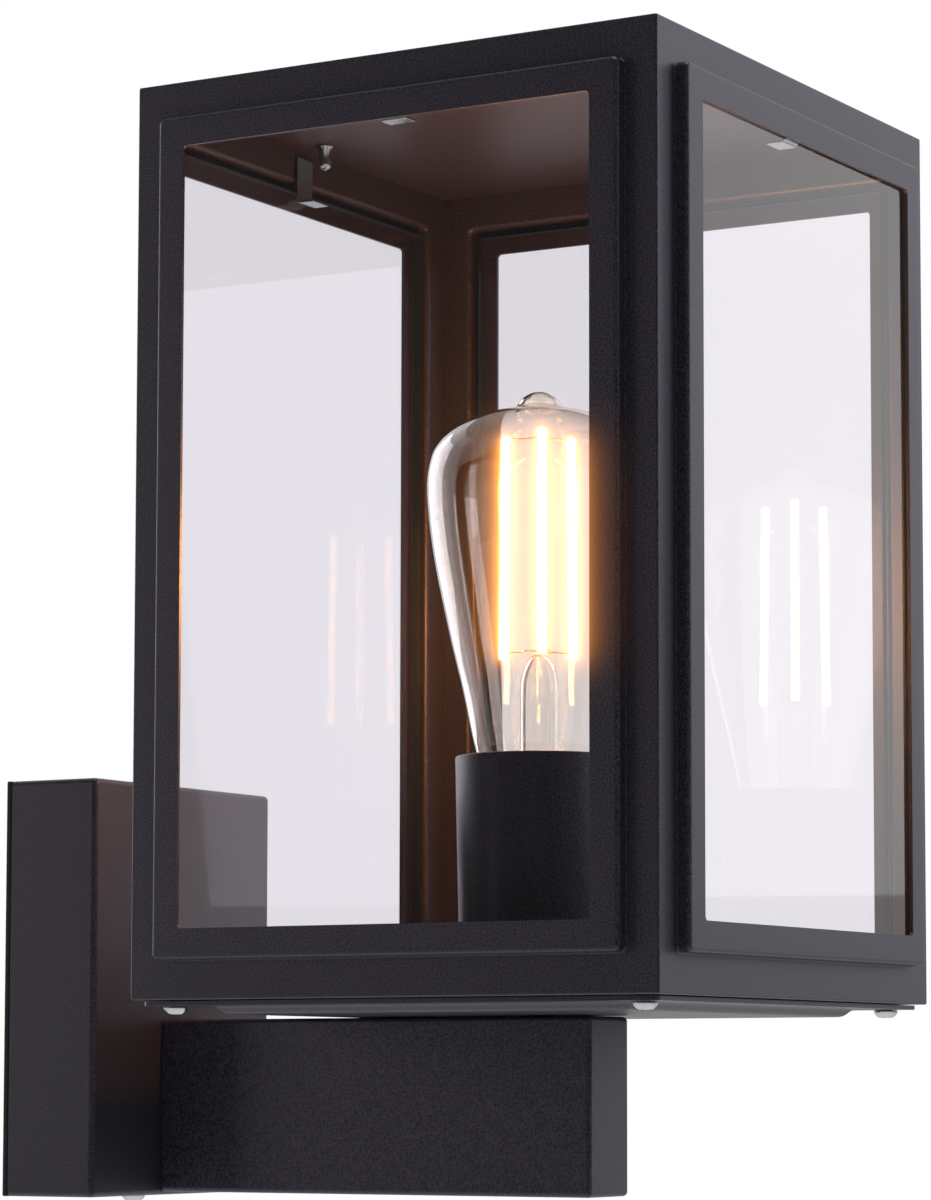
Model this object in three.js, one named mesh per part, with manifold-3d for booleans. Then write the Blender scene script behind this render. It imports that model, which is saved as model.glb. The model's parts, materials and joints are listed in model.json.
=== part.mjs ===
// Outdoor wall lantern: a glazed box of pressed steel panels on a base pan, carried by a
// rectangular arm in front of a wall box, with one E27 lamp standing in a sleeve on the pan.
// Millimetres. +X along the wall, +Y into the wall, +Z up. The origin is the middle of the
// wall bracket's back face, so the wall is the plane y = 0 and the lantern stands at y < 0.
import * as THREE from 'three';
import { mergeVertices } from 'three/addons/utils/BufferGeometryUtils.js';
import Module from 'manifold-3d';

const wasm = await Module();
wasm.setup();

// ---------------------------------------------------------------- driving sizes
const gap = 0.3;             // clearance between pieces that rest on each other

// housing: five panels round four panes
const housingWidth = 164;    // along X, over the flat corners
const housingDepth = 164;    // along Y
const housingHeight = 254;
const housingStandoff = 71;  // wall to the housing's back panel
const sheet = 1.0;           // panel and roof sheet
const embossInset = 9.6;     // corner to the side of the raised rim
const embossEndInset = 10.8; // top or bottom edge to the end of the raised rim
const embossHeight = 4.0;    // how far the rim stands proud
const embossRadius = 1.8;
const windowInset = 18;      // corner to the side of the window
const windowEndInset = 19.2; // top or bottom edge to the end of the window
const windowRadius = 1.2;
const flangeWidth = 14;      // inward flange along the bottom of each panel

// panes and their clips
const paneThickness = 3.0;
const paneSlack = 2.4;       // room round a pane inside the raised rim
const clipWidth = 8;
const clipSheet = 0.8;
const clipLeg = 14;
const clipFoot = 5.5;
const clipBite = 4;          // how far a clip reaches over its pane
const clipPad = 2.4;         // height of the raised end that presses on the pane

// roof stud
const studDiameter = 3.8;
const studLength = 7;        // with its round end
const studFromBack = 9;

// base pan and its four corner screws
const panSheet = 1.2;
const panInset = 2;          // housing face to the edge of the pan
const panDrop = 2.2;         // lowered middle
const panStepInset = 15.5;   // housing face to the start of the sloped step
const cornerScrewInset = 9;
const screwDiameter = 3.8;
const screwClearance = 0.5;  // on the radius, round a screw in its hole
const screwHeadDiameter = 7;
const screwHeadHeight = 2.2;
const recessWidth = 0.9;     // crossed recess in a screw's head
const recessReach = 1.9;
const recessDepth = 1;
const cornerScrewLength = 9;
const lugSize = 15;
const lugThickness = 3;
const panScrewFromLamp = 49; // lamp axis back to the screw that holds the pan to the arm
const panScrewGrip = 4;      // how far that screw runs on under the arm's top wall

// arm
const armWidth = 22.5;
const armHeight = 50;
const armWall = 1.5;
const armPastLamp = 22.5;    // lamp axis to the free end of the arm
const armAboveBoxBottom = 1;
const armPlate = 3;          // threaded plate in the end of the arm
const armScrewOffset = 16;   // up and down from the middle of the arm
const leadHole = 10;

// wall box and what it holds
const boxWidth = 90;
const boxHeight = 120;
const boxDepth = 32;
const boxSheet = 1.5;
const bracketWidth = 30;
const bracketThickness = 2;
const earLength = 20;
const coverScrewFromWall = 14.4;
const coverScrewGrip = 1.5;  // how far a cover screw runs on through the ear
const slotLength = 14;
const slotWidth = 5;
const slotFromMiddle = 34;
const cableHole = 12;        // diameter of the mains inlet in the bracket
const cableHoleBelow = 19;   // middle of the bracket to the inlet
const gasketWidth = 3;
const gasketThickness = 1.6;
const terminalWidth = 30;
const terminalHeight = 12;
const terminalDepth = 14;
const terminalAbove = 12;    // middle of the bracket to the middle of the terminal block
const earthScrewBelow = 13;  // terminal block to the earth screw
const earthScrewDiameter = 3;
const grommetBore = 7;
const grommetLip = 1.8;

// lamp holder
const holderTopRadius = 23.8;
const holderBottomRadius = 22.2;
const holderHeight = 71.4;
const holderWall = 1.2;
const socketBodyRadius = 19.5;
const socketBodyHeight = 56;
const socketFloorBelowLamp = 6.5; // lamp's end contact to the floor of the socket
const socketFloor = 5;
const shellInnerRadius = 13.6;
const shellWall = 0.6;
const shellHeight = 29;
const nippleRadius = 5;
const nippleBore = 3.6;
const nippleBelowArmWall = 5;
const nippleAboveSleeve = 5;
const nutAcrossFlats = 14;
const nutThickness = 2.6;
const tongueSheet = 0.6;
const tongueWidth = 6;

// lamp: squirrel-cage LED filament lamp with an E27 cap
const lampLength = 143;
const lampAboveHolder = 104.3; // holder rim to the tip of the lamp
const lampRadius = 32;
const lampGlass = 0.9;
const capRadius = 13.05;
const capHeight = 22;
const capWall = 0.6;
const capBottomBore = 8;
const capFloor = 2.5;
const capChamfer = 1;
const insulatorRim = 1.2;
const fitGap = 0.4;          // between the lamp's nested round pieces
const neckInCap = 4;         // cap's shoulder to the bottom of the glass neck
const contactRadius = 4.6;
const contactHeight = 1.4;
const filamentRadius = 1.25;
const filamentLength = 64;
const filamentTopRing = 10.6;
const filamentBottomRing = 11.6;
const filamentBelowTip = 12;
const filamentTurn = 93.3;   // degrees, first filament from +X
const tipRadius = 6.2;       // the sealed tip
const tipHeight = 4.9;
const stemRadius = 5.4;
const wireRadius = 0.5;

// leads
const leadRadius = 1.1;

// ---------------------------------------------------------------- levels and places
const rise = embossHeight + sheet;
const armBottom = -boxHeight / 2 + armAboveBoxBottom;
const armTop = armBottom + armHeight;
const armMiddle = (armBottom + armTop) / 2;
const panBottom = armTop + gap;
const panFlangeBottom = panBottom + panDrop;
const panFlangeTop = panFlangeBottom + panSheet;
const housingBottom = panFlangeTop + gap;
const housingTop = housingBottom + housingHeight;
const housingBack = -housingStandoff;
const lampY = housingBack - housingDepth / 2;
const armEnd = lampY - armPastLamp;
const sleeveBottom = panBottom + panSheet + gap;
const sleeveTop = sleeveBottom + holderHeight;
const lampTip = sleeveTop + lampAboveHolder;
const lampEnd = lampTip - lampLength;
const windowHeight = housingHeight - 2 * windowEndInset;

// ---------------------------------------------------------------- helpers
function solidOf(geometry) {
  const bare = geometry.clone();
  bare.deleteAttribute('normal');
  bare.deleteAttribute('uv');
  const merged = mergeVertices(bare, 1e-4);
  return new wasm.Manifold(new wasm.Mesh({
    numProp: 3,
    vertProperties: new Float32Array(merged.attributes.position.array),
    triVerts: new Uint32Array(merged.index.array),
  }));
}

function geometryOf(solid) {
  const mesh = solid.getMesh();
  const geometry = new THREE.BufferGeometry();
  geometry.setAttribute('position', new THREE.BufferAttribute(mesh.vertProperties, 3));
  geometry.setIndex(new THREE.BufferAttribute(mesh.triVerts, 1));
  return geometry;
}

function join(...geometries) {
  return geometryOf(geometries.map(solidOf).reduce((whole, next) => whole.add(next)));
}

function cut(geometry, ...tools) {
  return geometryOf(tools.map(solidOf).reduce((whole, tool) => whole.subtract(tool), solidOf(geometry)));
}

// a box between two corners
function block(x0, x1, y0, y1, z0, z1) {
  const geometry = new THREE.BoxGeometry(x1 - x0, y1 - y0, z1 - z0);
  return geometry.translate((x0 + x1) / 2, (y0 + y1) / 2, (z0 + z1) / 2);
}

// an upright round bar from z0 to z1
function bar(radius, x, y, z0, z1, sides = 16) {
  const geometry = new THREE.CylinderGeometry(radius, radius, z1 - z0, sides);
  return geometry.rotateX(Math.PI / 2).translate(x, y, (z0 + z1) / 2);
}

// a round bar along Y from y0 to y1
function barAlongY(radius, x, z, y0, y1, sides = 16) {
  const geometry = new THREE.CylinderGeometry(radius, radius, y1 - y0, sides);
  return geometry.translate(x, (y0 + y1) / 2, z);
}

// a body turned about the upright axis through (0, lampY), from [radius, z] pairs
function turned(profile, sides = 24) {
  const points = profile.map(([radius, z]) => new THREE.Vector2(radius, z));
  return new THREE.LatheGeometry(points, sides).rotateX(Math.PI / 2).translate(0, lampY, 0);
}

// a round bar between two points
function rod(radius, from, to, sides = 10) {
  const axis = new THREE.Vector3().subVectors(to, from);
  const geometry = new THREE.CylinderGeometry(radius, radius, axis.length(), sides);
  const up = new THREE.Vector3(0, 1, 0);
  geometry.applyQuaternion(new THREE.Quaternion().setFromUnitVectors(up, axis.clone().normalize()));
  return geometry.translate(...from.clone().add(to).multiplyScalar(0.5).toArray());
}

// a plate with round corners in the XZ plane, from depth y0 to y1, centred on x = 0, z = middle
function roundedPlate(width, height, radius, middle, y0, y1) {
  const w = width / 2 - radius;
  const h = height / 2 - radius;
  const shape = new THREE.Shape();
  shape.absarc(w, h, radius, 0, Math.PI / 2);
  shape.absarc(-w, h, radius, Math.PI / 2, Math.PI);
  shape.absarc(-w, -h, radius, Math.PI, 1.5 * Math.PI);
  shape.absarc(w, -h, radius, 1.5 * Math.PI, 2 * Math.PI);
  const geometry = new THREE.ExtrudeGeometry(shape, {
    depth: y1 - y0, bevelEnabled: false, curveSegments: 2,
  });
  return geometry.rotateX(Math.PI / 2).translate(0, y1, middle);
}

// a flat plate from an outline of [x, y] points, from z0 to z1
function slab(outline, z0, z1) {
  const shape = new THREE.Shape(outline.map(([x, y]) => new THREE.Vector2(x, y)));
  return new THREE.ExtrudeGeometry(shape, { depth: z1 - z0, bevelEnabled: false }).translate(0, 0, z0);
}

// a hexagon nut on an upright axis
function hexNut(acrossFlats, bore, z0, z1, y) {
  const corner = acrossFlats / 2 / Math.cos(Math.PI / 6);
  return cut(bar(corner, 0, y, z0, z1, 6), bar(bore, 0, y, z0 - 1, z1 + 1));
}

// finishes
const finish = (color, roughness, metalness, extra = {}) => () =>
  new THREE.MeshStandardMaterial({ color, roughness, metalness, ...extra });
const powderCoat = finish(0x2b2b2d, 0.62, 0.0);
const clearGlass = finish(0xdfe8e4, 0.05, 0.0, { transparent: true, opacity: 0.3 });
const plated = finish(0xc9cac8, 0.28, 1.0);
const brass = finish(0xb8923a, 0.35, 1.0);
const blackPlastic = finish(0x1c1c1e, 0.5, 0.0);
const ivoryPlastic = finish(0xe6e1d2, 0.45, 0.0);
const rubber = finish(0x2a2a2a, 0.85, 0.0);
const glow = finish(0xffd9a0, 0.4, 0.0, { emissive: 0xffb45a, emissiveIntensity: 2 });

const lantern = new THREE.Group();

function add(name, geometry, material, parent = lantern) {
  const mesh = new THREE.Mesh(geometry, material());
  mesh.name = name;
  parent.add(mesh);
  return mesh;
}

// ---------------------------------------------------------------- housing
// One glazed face is drawn as if it faced -Y with its outer flat at y = 0, then turned
// about the lamp's axis to its own side. `half` is half its width, `reach` how far its
// flat runs sideways, and its bottom flange is mitred against its neighbours.
const cornerHoles = [-1, 1].flatMap((sx) => [-1, 1].map((sy) => [
  sx * (housingWidth / 2 - cornerScrewInset),
  lampY + sy * (housingDepth / 2 - cornerScrewInset),
]));
const screwHole = screwDiameter / 2 + screwClearance;

function facePanel(width, sideInset) {
  const reach = width / 2 - sideInset;
  const flat = block(-reach, reach, 0, sheet, 0, housingHeight - sheet - gap);
  const middle = housingHeight / 2;
  const rimWidth = width - 2 * embossInset;
  const rimHeight = housingHeight - 2 * embossEndInset;
  const rim = roundedPlate(rimWidth, rimHeight, embossRadius, middle, -embossHeight, sheet / 2);
  const recess = roundedPlate(rimWidth - 2 * sheet, rimHeight - 2 * sheet, embossRadius - sheet,
    middle, -embossHeight + sheet, 2 * sheet);
  const opening = roundedPlate(width - 2 * windowInset, windowHeight, windowRadius,
    middle, -2 * rise, 2 * rise);
  const mitre = gap * Math.SQRT1_2;
  const flange = slab([
    [-width / 2 + mitre, 0],
    [width / 2 - mitre, 0],
    [width / 2 - mitre - flangeWidth, flangeWidth],
    [-width / 2 + mitre + flangeWidth, flangeWidth],
  ], 0, sheet);
  return cut(join(flat, rim, flange), recess, opening,
    block(reach, width, -1, flangeWidth, -1, 2 * sheet),
    block(-width, -reach, -1, flangeWidth, -1, 2 * sheet));
}

// the four sides: name, turn about Z, distance from the lamp axis, width, sideways inset
const sides = [
  ['front', 0, housingDepth / 2, housingWidth, 0],
  ['right', Math.PI / 2, housingWidth / 2, housingDepth, sheet + gap],
  ['back', Math.PI, housingDepth / 2, housingWidth, 0],
  ['left', -Math.PI / 2, housingWidth / 2, housingDepth, sheet + gap],
];

function toSide(geometry, turn, distance) {
  return geometry.translate(0, -distance, 0).rotateZ(turn).translate(0, lampY, housingBottom);
}

for (const [side, turn, distance, width, sideInset] of sides) {
  const panel = toSide(facePanel(width, sideInset), turn, distance);
  const holes = cornerHoles.map(([x, y]) =>
    bar(screwHole, x, y, housingBottom - sheet, housingBottom + 2 * sheet));
  add(`housing_${side}_panel`, cut(panel, ...holes), powderCoat);

  // the pane lies in the raised rim, against the back of the window's border
  const paneWidth = width - 2 * (embossInset + sheet) - paneSlack * 2;
  const paneBottom = embossEndInset + sheet + paneSlack;
  const paneTop = housingHeight - paneBottom;
  const paneFront = -embossHeight + sheet + gap;
  const paneBack = paneFront + paneThickness;
  add(`pane_${side}`, toSide(block(-paneWidth / 2, paneWidth / 2, paneFront, paneBack,
    paneBottom, paneTop), turn, distance), clearGlass);

  // bent clips hold the pane at the middle of its top and bottom edges
  const legFront = sheet + gap;
  const legBack = legFront + clipSheet;
  for (const [end, tip, sign] of [['top', paneTop - clipBite, 1], ['bottom', paneBottom + clipBite, -1]]) {
    const span = (a, b) => (a < b ? [a, b] : [b, a]);
    const leg = block(-clipWidth / 2, clipWidth / 2, legFront, legBack, ...span(tip, tip + sign * clipLeg));
    const foot = block(-clipWidth / 2, clipWidth / 2, legFront, legBack + clipFoot,
      ...span(tip, tip + sign * clipSheet));
    const pad = block(-clipWidth / 2, clipWidth / 2, paneBack + gap, legBack,
      ...span(tip, tip + sign * clipPad));
    add(`pane_clip_${side}_${end}`, toSide(join(leg, foot, pad), turn, distance), powderCoat);
  }
}

add('housing_roof', block(-housingWidth / 2, housingWidth / 2, housingBack - housingDepth, housingBack,
  housingTop - sheet, housingTop), powderCoat);

const studY = housingBack - studFromBack;
const studTop = housingTop - sheet - gap;
const studDome = studTop - studLength + studDiameter / 2;
add('roof_stud', join(
  bar(studDiameter / 2, 0, studY, studDome, studTop),
  new THREE.SphereGeometry(studDiameter / 2, 16, 8).translate(0, studY, studDome),
), plated);

// threaded lugs on the flanges take the corner screws
const lugBottom = housingBottom + sheet + gap;
const cornerNames = ['left_front', 'left_back', 'right_front', 'right_back'];
cornerHoles.forEach(([x, y], i) => {
  const inX = Math.sign(x) * -1;
  const inY = Math.sign(y - lampY) * -1;
  const cornerX = -inX * (housingWidth / 2 - sheet - gap);
  const cornerY = lampY - inY * (housingDepth / 2 - sheet - gap);
  const plate = block(Math.min(cornerX, cornerX + inX * lugSize), Math.max(cornerX, cornerX + inX * lugSize),
    Math.min(cornerY, cornerY + inY * lugSize), Math.max(cornerY, cornerY + inY * lugSize),
    lugBottom, lugBottom + lugThickness);
  add(`corner_lug_${cornerNames[i]}`,
    cut(plate, bar(screwHole, x, y, lugBottom - 1, lugBottom + lugThickness + 1)), powderCoat);
});

// ---------------------------------------------------------------- base pan
const panHalfX = housingWidth / 2 - panInset;
const panHalfY = housingDepth / 2 - panInset;

// a four-sided block whose bottom is smaller than its top by one step's width all round
function steppedBlock(halfX, halfY, bottom, top) {
  const slope = top - bottom;
  const positions = [];
  for (const [hx, hy, z] of [[halfX - slope, halfY - slope, bottom], [halfX, halfY, top]]) {
    positions.push(-hx, lampY - hy, z, hx, lampY - hy, z, hx, lampY + hy, z, -hx, lampY + hy, z);
  }
  const geometry = new THREE.BufferGeometry();
  geometry.setAttribute('position', new THREE.Float32BufferAttribute(positions, 3));
  geometry.setIndex([0, 2, 1, 0, 3, 2, 4, 5, 6, 4, 6, 7, 0, 1, 5, 0, 5, 4,
    1, 2, 6, 1, 6, 5, 2, 3, 7, 2, 7, 6, 3, 0, 4, 3, 4, 7]);
  return geometry;
}

const stepHalfX = housingWidth / 2 - panStepInset;
const stepHalfY = housingDepth / 2 - panStepInset;
const dish = steppedBlock(stepHalfX, stepHalfY, panBottom, panFlangeBottom + 0.01);
const hollow = steppedBlock(stepHalfX - panSheet / 2, stepHalfY - panSheet / 2,
  panBottom + panSheet, panFlangeTop + 0.01);
const panScrewY = lampY + panScrewFromLamp;
add('base_pan', cut(
  join(block(-panHalfX, panHalfX, lampY - panHalfY, lampY + panHalfY, panFlangeBottom, panFlangeTop), dish),
  hollow,
  bar(nippleRadius + gap, 0, lampY, panBottom - 1, panFlangeTop + 1),
  bar(screwHole, 0, panScrewY, panBottom - 1, panFlangeTop + 1),
  ...cornerHoles.map(([x, y]) => bar(screwHole, x, y, panBottom - 1, panFlangeTop + 1)),
), powderCoat);

// a pan-head screw with its head's seat at the origin, its shank up and a crossed recess
function panHeadScrew(length, shank = screwDiameter) {
  const r = screwHeadDiameter / 2;
  const head = new THREE.LatheGeometry([
    [0, -screwHeadHeight], [r * 0.7, -screwHeadHeight * 0.8], [r, -screwHeadHeight * 0.2], [r, 0], [0, 0],
  ].map(([x, y]) => new THREE.Vector2(x, y)), 12).rotateX(Math.PI / 2);
  const body = bar(shank / 2, 0, 0, -0.5, length, 10);
  const recess = (x, y) => block(-x, x, -y, y, -screwHeadHeight - 1, -screwHeadHeight + recessDepth);
  return cut(join(head, body), recess(recessReach, recessWidth / 2), recess(recessWidth / 2, recessReach));
}

cornerHoles.forEach(([x, y], i) => {
  add(`corner_screw_${cornerNames[i]}`,
    panHeadScrew(cornerScrewLength).translate(x, y, panFlangeBottom - gap), plated);
});

// ---------------------------------------------------------------- arm
const armBack = -boxDepth - gap;
const armShell = block(-armWidth / 2, armWidth / 2, armEnd, armBack, armBottom, armTop);
const armHollow = block(-armWidth / 2 + armWall, armWidth / 2 - armWall, armEnd + armWall, armBack + 1,
  armBottom + armWall, armTop - armWall);
add('arm', cut(armShell, armHollow,
  bar(nippleRadius + gap, 0, lampY, armTop - 2 * armWall, armTop + 1),
  bar(screwHole, 0, panScrewY, armTop - 2 * armWall, armTop + 1)), powderCoat);

// a screw holds the pan to the arm's threaded top wall behind the lamp holder
const panFloorTop = panBottom + panSheet;
const panScrewLength = panSheet + 2 * gap + armWall + panScrewGrip;
add('pan_screw', panHeadScrew(panScrewLength).rotateX(Math.PI)
  .translate(0, panScrewY, panFloorTop + gap), plated);

// ---------------------------------------------------------------- wall box
// a threaded plate welded into the arm's open end takes two screws from inside the wall box
const boxFront = -boxDepth;
const boxInnerFront = boxFront + boxSheet;
const armScrewLevels = [armMiddle + armScrewOffset, armMiddle - armScrewOffset];
const plateHalf = armWidth / 2 - armWall - gap;
const acrossFront = (radius, z) => barAlongY(radius, 0, z, armBack - armPlate - 1, boxInnerFront + 1);
add('arm_end_plate', cut(
  block(-plateHalf, plateHalf, armBack - armPlate, armBack,
    armBottom + armWall + gap, armTop - armWall - gap),
  acrossFront(leadHole / 2, armMiddle),
  ...armScrewLevels.map((z) => acrossFront(screwHole, z)),
), plated);

const armScrewLength = boxSheet + 2 * gap + armPlate + 1;
const armScrewNames = ['top', 'bottom'];
armScrewLevels.forEach((z, i) => {
  add(`arm_screw_${armScrewNames[i]}`, panHeadScrew(armScrewLength).rotateX(Math.PI / 2)
    .translate(0, boxInnerFront + gap, z), plated);
});

// the box is open at the back and drilled for the leads, the arm's screws and its own two screws
const coverScrewY = -coverScrewFromWall;
const boxBack = -gasketThickness - gap;
add('wall_box', cut(
  block(-boxWidth / 2, boxWidth / 2, boxFront, boxBack, -boxHeight / 2, boxHeight / 2),
  block(-boxWidth / 2 + boxSheet, boxWidth / 2 - boxSheet, boxInnerFront, 1,
    -boxHeight / 2 + boxSheet, boxHeight / 2 - boxSheet),
  acrossFront(leadHole / 2, armMiddle),
  ...armScrewLevels.map((z) => acrossFront(screwHole, z)),
  bar(screwHole, 0, coverScrewY, -boxHeight / 2 - 1, boxHeight / 2 + 1),
), powderCoat);

const gasketInnerX = boxWidth / 2 - gasketWidth;
const gasketInnerZ = boxHeight / 2 - gasketWidth;
add('wall_gasket', cut(
  block(-boxWidth / 2, boxWidth / 2, -gasketThickness, 0, -boxHeight / 2, boxHeight / 2),
  block(-gasketInnerX, gasketInnerX, -gasketThickness - 1, 1, -gasketInnerZ, gasketInnerZ),
), rubber);

// the bracket is a flat strip with an ear bent forward at each end, two slots for the wall
// screws and a hole for the mains inlet
const bracketEnd = gasketInnerZ - gap;
const terminalBottom = terminalAbove - terminalHeight / 2;
const terminalPitch = terminalWidth / 3;
const earthScrewZ = terminalBottom - earthScrewBelow;
const slotCut = (z) => block(-slotLength / 2, slotLength / 2, -bracketThickness - 1, 1,
  z - slotWidth / 2, z + slotWidth / 2);
const ear = (z0, z1) => block(-bracketWidth / 2, bracketWidth / 2, -earLength, 0, z0, z1);
add('wall_bracket', cut(
  join(
    block(-bracketWidth / 2, bracketWidth / 2, -bracketThickness, 0, -bracketEnd, bracketEnd),
    ear(bracketEnd - bracketThickness, bracketEnd),
    ear(-bracketEnd, -bracketEnd + bracketThickness),
  ),
  slotCut(slotFromMiddle),
  slotCut(-slotFromMiddle),
  barAlongY(cableHole / 2, 0, -cableHoleBelow, -bracketThickness - 1, 1),
  barAlongY(earthScrewDiameter / 2 + gap, terminalPitch, earthScrewZ, -bracketThickness - 1, 1),
  bar(screwDiameter / 2 + gap, 0, coverScrewY, -bracketEnd - 1, bracketEnd + 1),
), plated);

const coverScrewLength = boxHeight / 2 + gap - bracketEnd + bracketThickness + coverScrewGrip;
add('cover_screw_top', panHeadScrew(coverScrewLength).rotateX(Math.PI)
  .translate(0, coverScrewY, boxHeight / 2 + gap), plated);
add('cover_screw_bottom', panHeadScrew(coverScrewLength)
  .translate(0, coverScrewY, -boxHeight / 2 - gap), plated);

// a rubber grommet lines the mains inlet
const grommetHole = cableHole / 2 - gap;
add('inlet_grommet', new THREE.LatheGeometry([
  [grommetBore / 2, -bracketThickness - gap - grommetLip],
  [grommetHole + grommetLip, -bracketThickness - gap - grommetLip],
  [grommetHole + grommetLip, -bracketThickness - gap],
  [grommetHole, -bracketThickness - gap],
  [grommetHole, 0],
  [grommetBore / 2, 0],
  [grommetBore / 2, -bracketThickness - gap - grommetLip],
].map(([x, y]) => new THREE.Vector2(x, y)), 24).translate(0, 0, -cableHoleBelow), rubber);

// terminal block on the bracket, with one passage for each of the three leads
const terminalBack = -bracketThickness - gap;
const terminalFront = terminalBack - terminalDepth;
const terminalY = (terminalBack + terminalFront) / 2;
const poles = [-terminalPitch, 0, terminalPitch];
add('terminal_block', cut(
  block(-terminalWidth / 2, terminalWidth / 2, terminalFront, terminalBack,
    terminalBottom, terminalBottom + terminalHeight),
  ...poles.map((x) => bar(leadRadius + 0.5, x, terminalY, terminalBottom - 1,
    terminalBottom + terminalHeight + 1, 12)),
), ivoryPlastic);

// the bracket's earth screw stands below the third pole
add('earth_screw', panHeadScrew(bracketThickness, earthScrewDiameter).rotateX(-Math.PI / 2)
  .translate(terminalPitch, -bracketThickness - gap, earthScrewZ), brass);

// ---------------------------------------------------------------- lamp holder
const nippleBottom = armTop - armWall - nippleBelowArmWall;
const sleeveFloor = sleeveBottom + holderWall;
add('holder_nipple', cut(
  bar(nippleRadius, 0, lampY, nippleBottom, sleeveFloor + nippleAboveSleeve),
  bar(nippleBore, 0, lampY, nippleBottom - 1, sleeveFloor + nippleAboveSleeve + 1),
), plated);
const nutBore = nippleRadius + gap;
add('holder_lower_nut', hexNut(nutAcrossFlats, nutBore, armTop - armWall - gap - nutThickness,
  armTop - armWall - gap, lampY), plated);
add('holder_upper_nut', hexNut(nutAcrossFlats, nutBore, sleeveFloor + gap,
  sleeveFloor + gap + nutThickness, lampY), plated);

add('holder_sleeve', turned([
  [nippleRadius + gap, sleeveBottom],
  [holderBottomRadius, sleeveBottom],
  [holderTopRadius, sleeveTop],
  [holderTopRadius - holderWall, sleeveTop],
  [holderBottomRadius - holderWall, sleeveFloor],
  [nippleRadius + gap, sleeveFloor],
  [nippleRadius + gap, sleeveBottom],
]), powderCoat);

const socketBottom = sleeveFloor + gap;
const socketFloorTop = lampEnd - socketFloorBelowLamp;
const socketCavity = nutAcrossFlats / 2 / Math.cos(Math.PI / 6) + 2;
const socketBore = shellInnerRadius + shellWall + gap;
add('socket_body', turned([
  [0, socketFloorTop - socketFloor],
  [socketCavity, socketFloorTop - socketFloor],
  [socketCavity, socketBottom],
  [socketBodyRadius, socketBottom],
  [socketBodyRadius, socketBottom + socketBodyHeight],
  [socketBore, socketBottom + socketBodyHeight],
  [socketBore, socketFloorTop],
  [0, socketFloorTop],
]), blackPlastic);

const shellBottom = socketFloorTop + gap;
add('socket_shell', turned([
  [shellInnerRadius, shellBottom],
  [shellInnerRadius + shellWall, shellBottom],
  [shellInnerRadius + shellWall, shellBottom + shellHeight],
  [shellInnerRadius, shellBottom + shellHeight],
  [shellInnerRadius, shellBottom],
]), brass);

// a sprung tongue: flat on the socket's floor, bent up to the lamp's end contact
const tongueTop = socketFloorBelowLamp - 2 * gap;
const tongue = new THREE.Shape([
  [-7, 0], [-3.6, 0], [0.4, tongueTop - tongueSheet], [4.5, tongueTop - tongueSheet],
  [4.5, tongueTop], [0, tongueTop], [-4, tongueSheet], [-7, tongueSheet],
].map(([x, z]) => new THREE.Vector2(x, z)));
add('socket_contact', new THREE.ExtrudeGeometry(tongue, { depth: tongueWidth, bevelEnabled: false })
  .rotateX(Math.PI / 2).translate(0, lampY + tongueWidth / 2, socketFloorTop + gap), brass);

// ---------------------------------------------------------------- lamp
const contactTop = lampEnd + contactHeight;
const capBottom = contactTop + 2 * gap;
const capShoulder = capBottom + capFloor;
const capTop = capShoulder + capHeight;
add('lamp_contact', bar(contactRadius, 0, lampY, lampEnd, contactTop), brass);
add('lamp_insulator', turned([
  [0, contactTop + gap],
  [contactRadius + insulatorRim, contactTop + gap],
  [capBottomBore - fitGap, capShoulder],
  [capBottomBore - fitGap, capShoulder + insulatorRim],
  [0, capShoulder + insulatorRim],
]), blackPlastic);
add('lamp_cap', turned([
  [capBottomBore, capBottom],
  [capRadius - capChamfer, capShoulder],
  [capRadius, capShoulder + capChamfer],
  [capRadius, capTop],
  [capRadius - capWall, capTop],
  [capRadius - capWall, capShoulder + capChamfer],
  [capBottomBore, capBottom + capWall * 1.5],
  [capBottomBore, capBottom],
]), brass);

// the glass is drawn down from its tip: a small nipple, a round shoulder and a long taper
// that ends in the neck, inside the cap
const neckRadius = capRadius - capWall - fitGap;
const neckBottom = capShoulder + neckInCap;
const below = (distance) => lampTip - distance;
const outline = new THREE.SplineCurve([
  [neckRadius, capTop], [neckRadius + 2.2, capTop + 5], [lampRadius * 0.56, below(103)],
  [lampRadius * 0.68, below(85)], [lampRadius * 0.8, below(69)], [lampRadius * 0.94, below(47)],
  [lampRadius, below(29)], [lampRadius * 0.965, below(21)], [lampRadius * 0.81, below(12.5)],
  [lampRadius * 0.5, below(7)], [tipRadius, below(tipHeight)],
].map(([x, z]) => new THREE.Vector2(x, z)));
const crown = outline.getPoints(14);
const dome = [0.4, 0.75].map((t) => {
  const angle = t * Math.PI / 2;
  return new THREE.Vector2(tipRadius * Math.cos(angle), below(tipHeight) + tipHeight * Math.sin(angle));
});

// the outside line, or the inside line when it is drawn in by the wall
function glassLine(wall) {
  const line = [...crown, ...dome];
  const inner = line.map((point, i) => {
    const before = line[Math.max(0, i - 1)];
    const after = line[Math.min(line.length - 1, i + 1)];
    const along = new THREE.Vector2().subVectors(after, before).normalize();
    return [point.x - along.y * wall, point.y + along.x * wall];
  });
  const bottom = neckBottom - (wall > 0 ? 1 : 0);
  return [[0, bottom], [neckRadius - wall, bottom], ...inner, [0, lampTip - wall]];
}
add('lamp_glass', cut(turned(glassLine(0)), turned(glassLine(lampGlass))), clearGlass);

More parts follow.
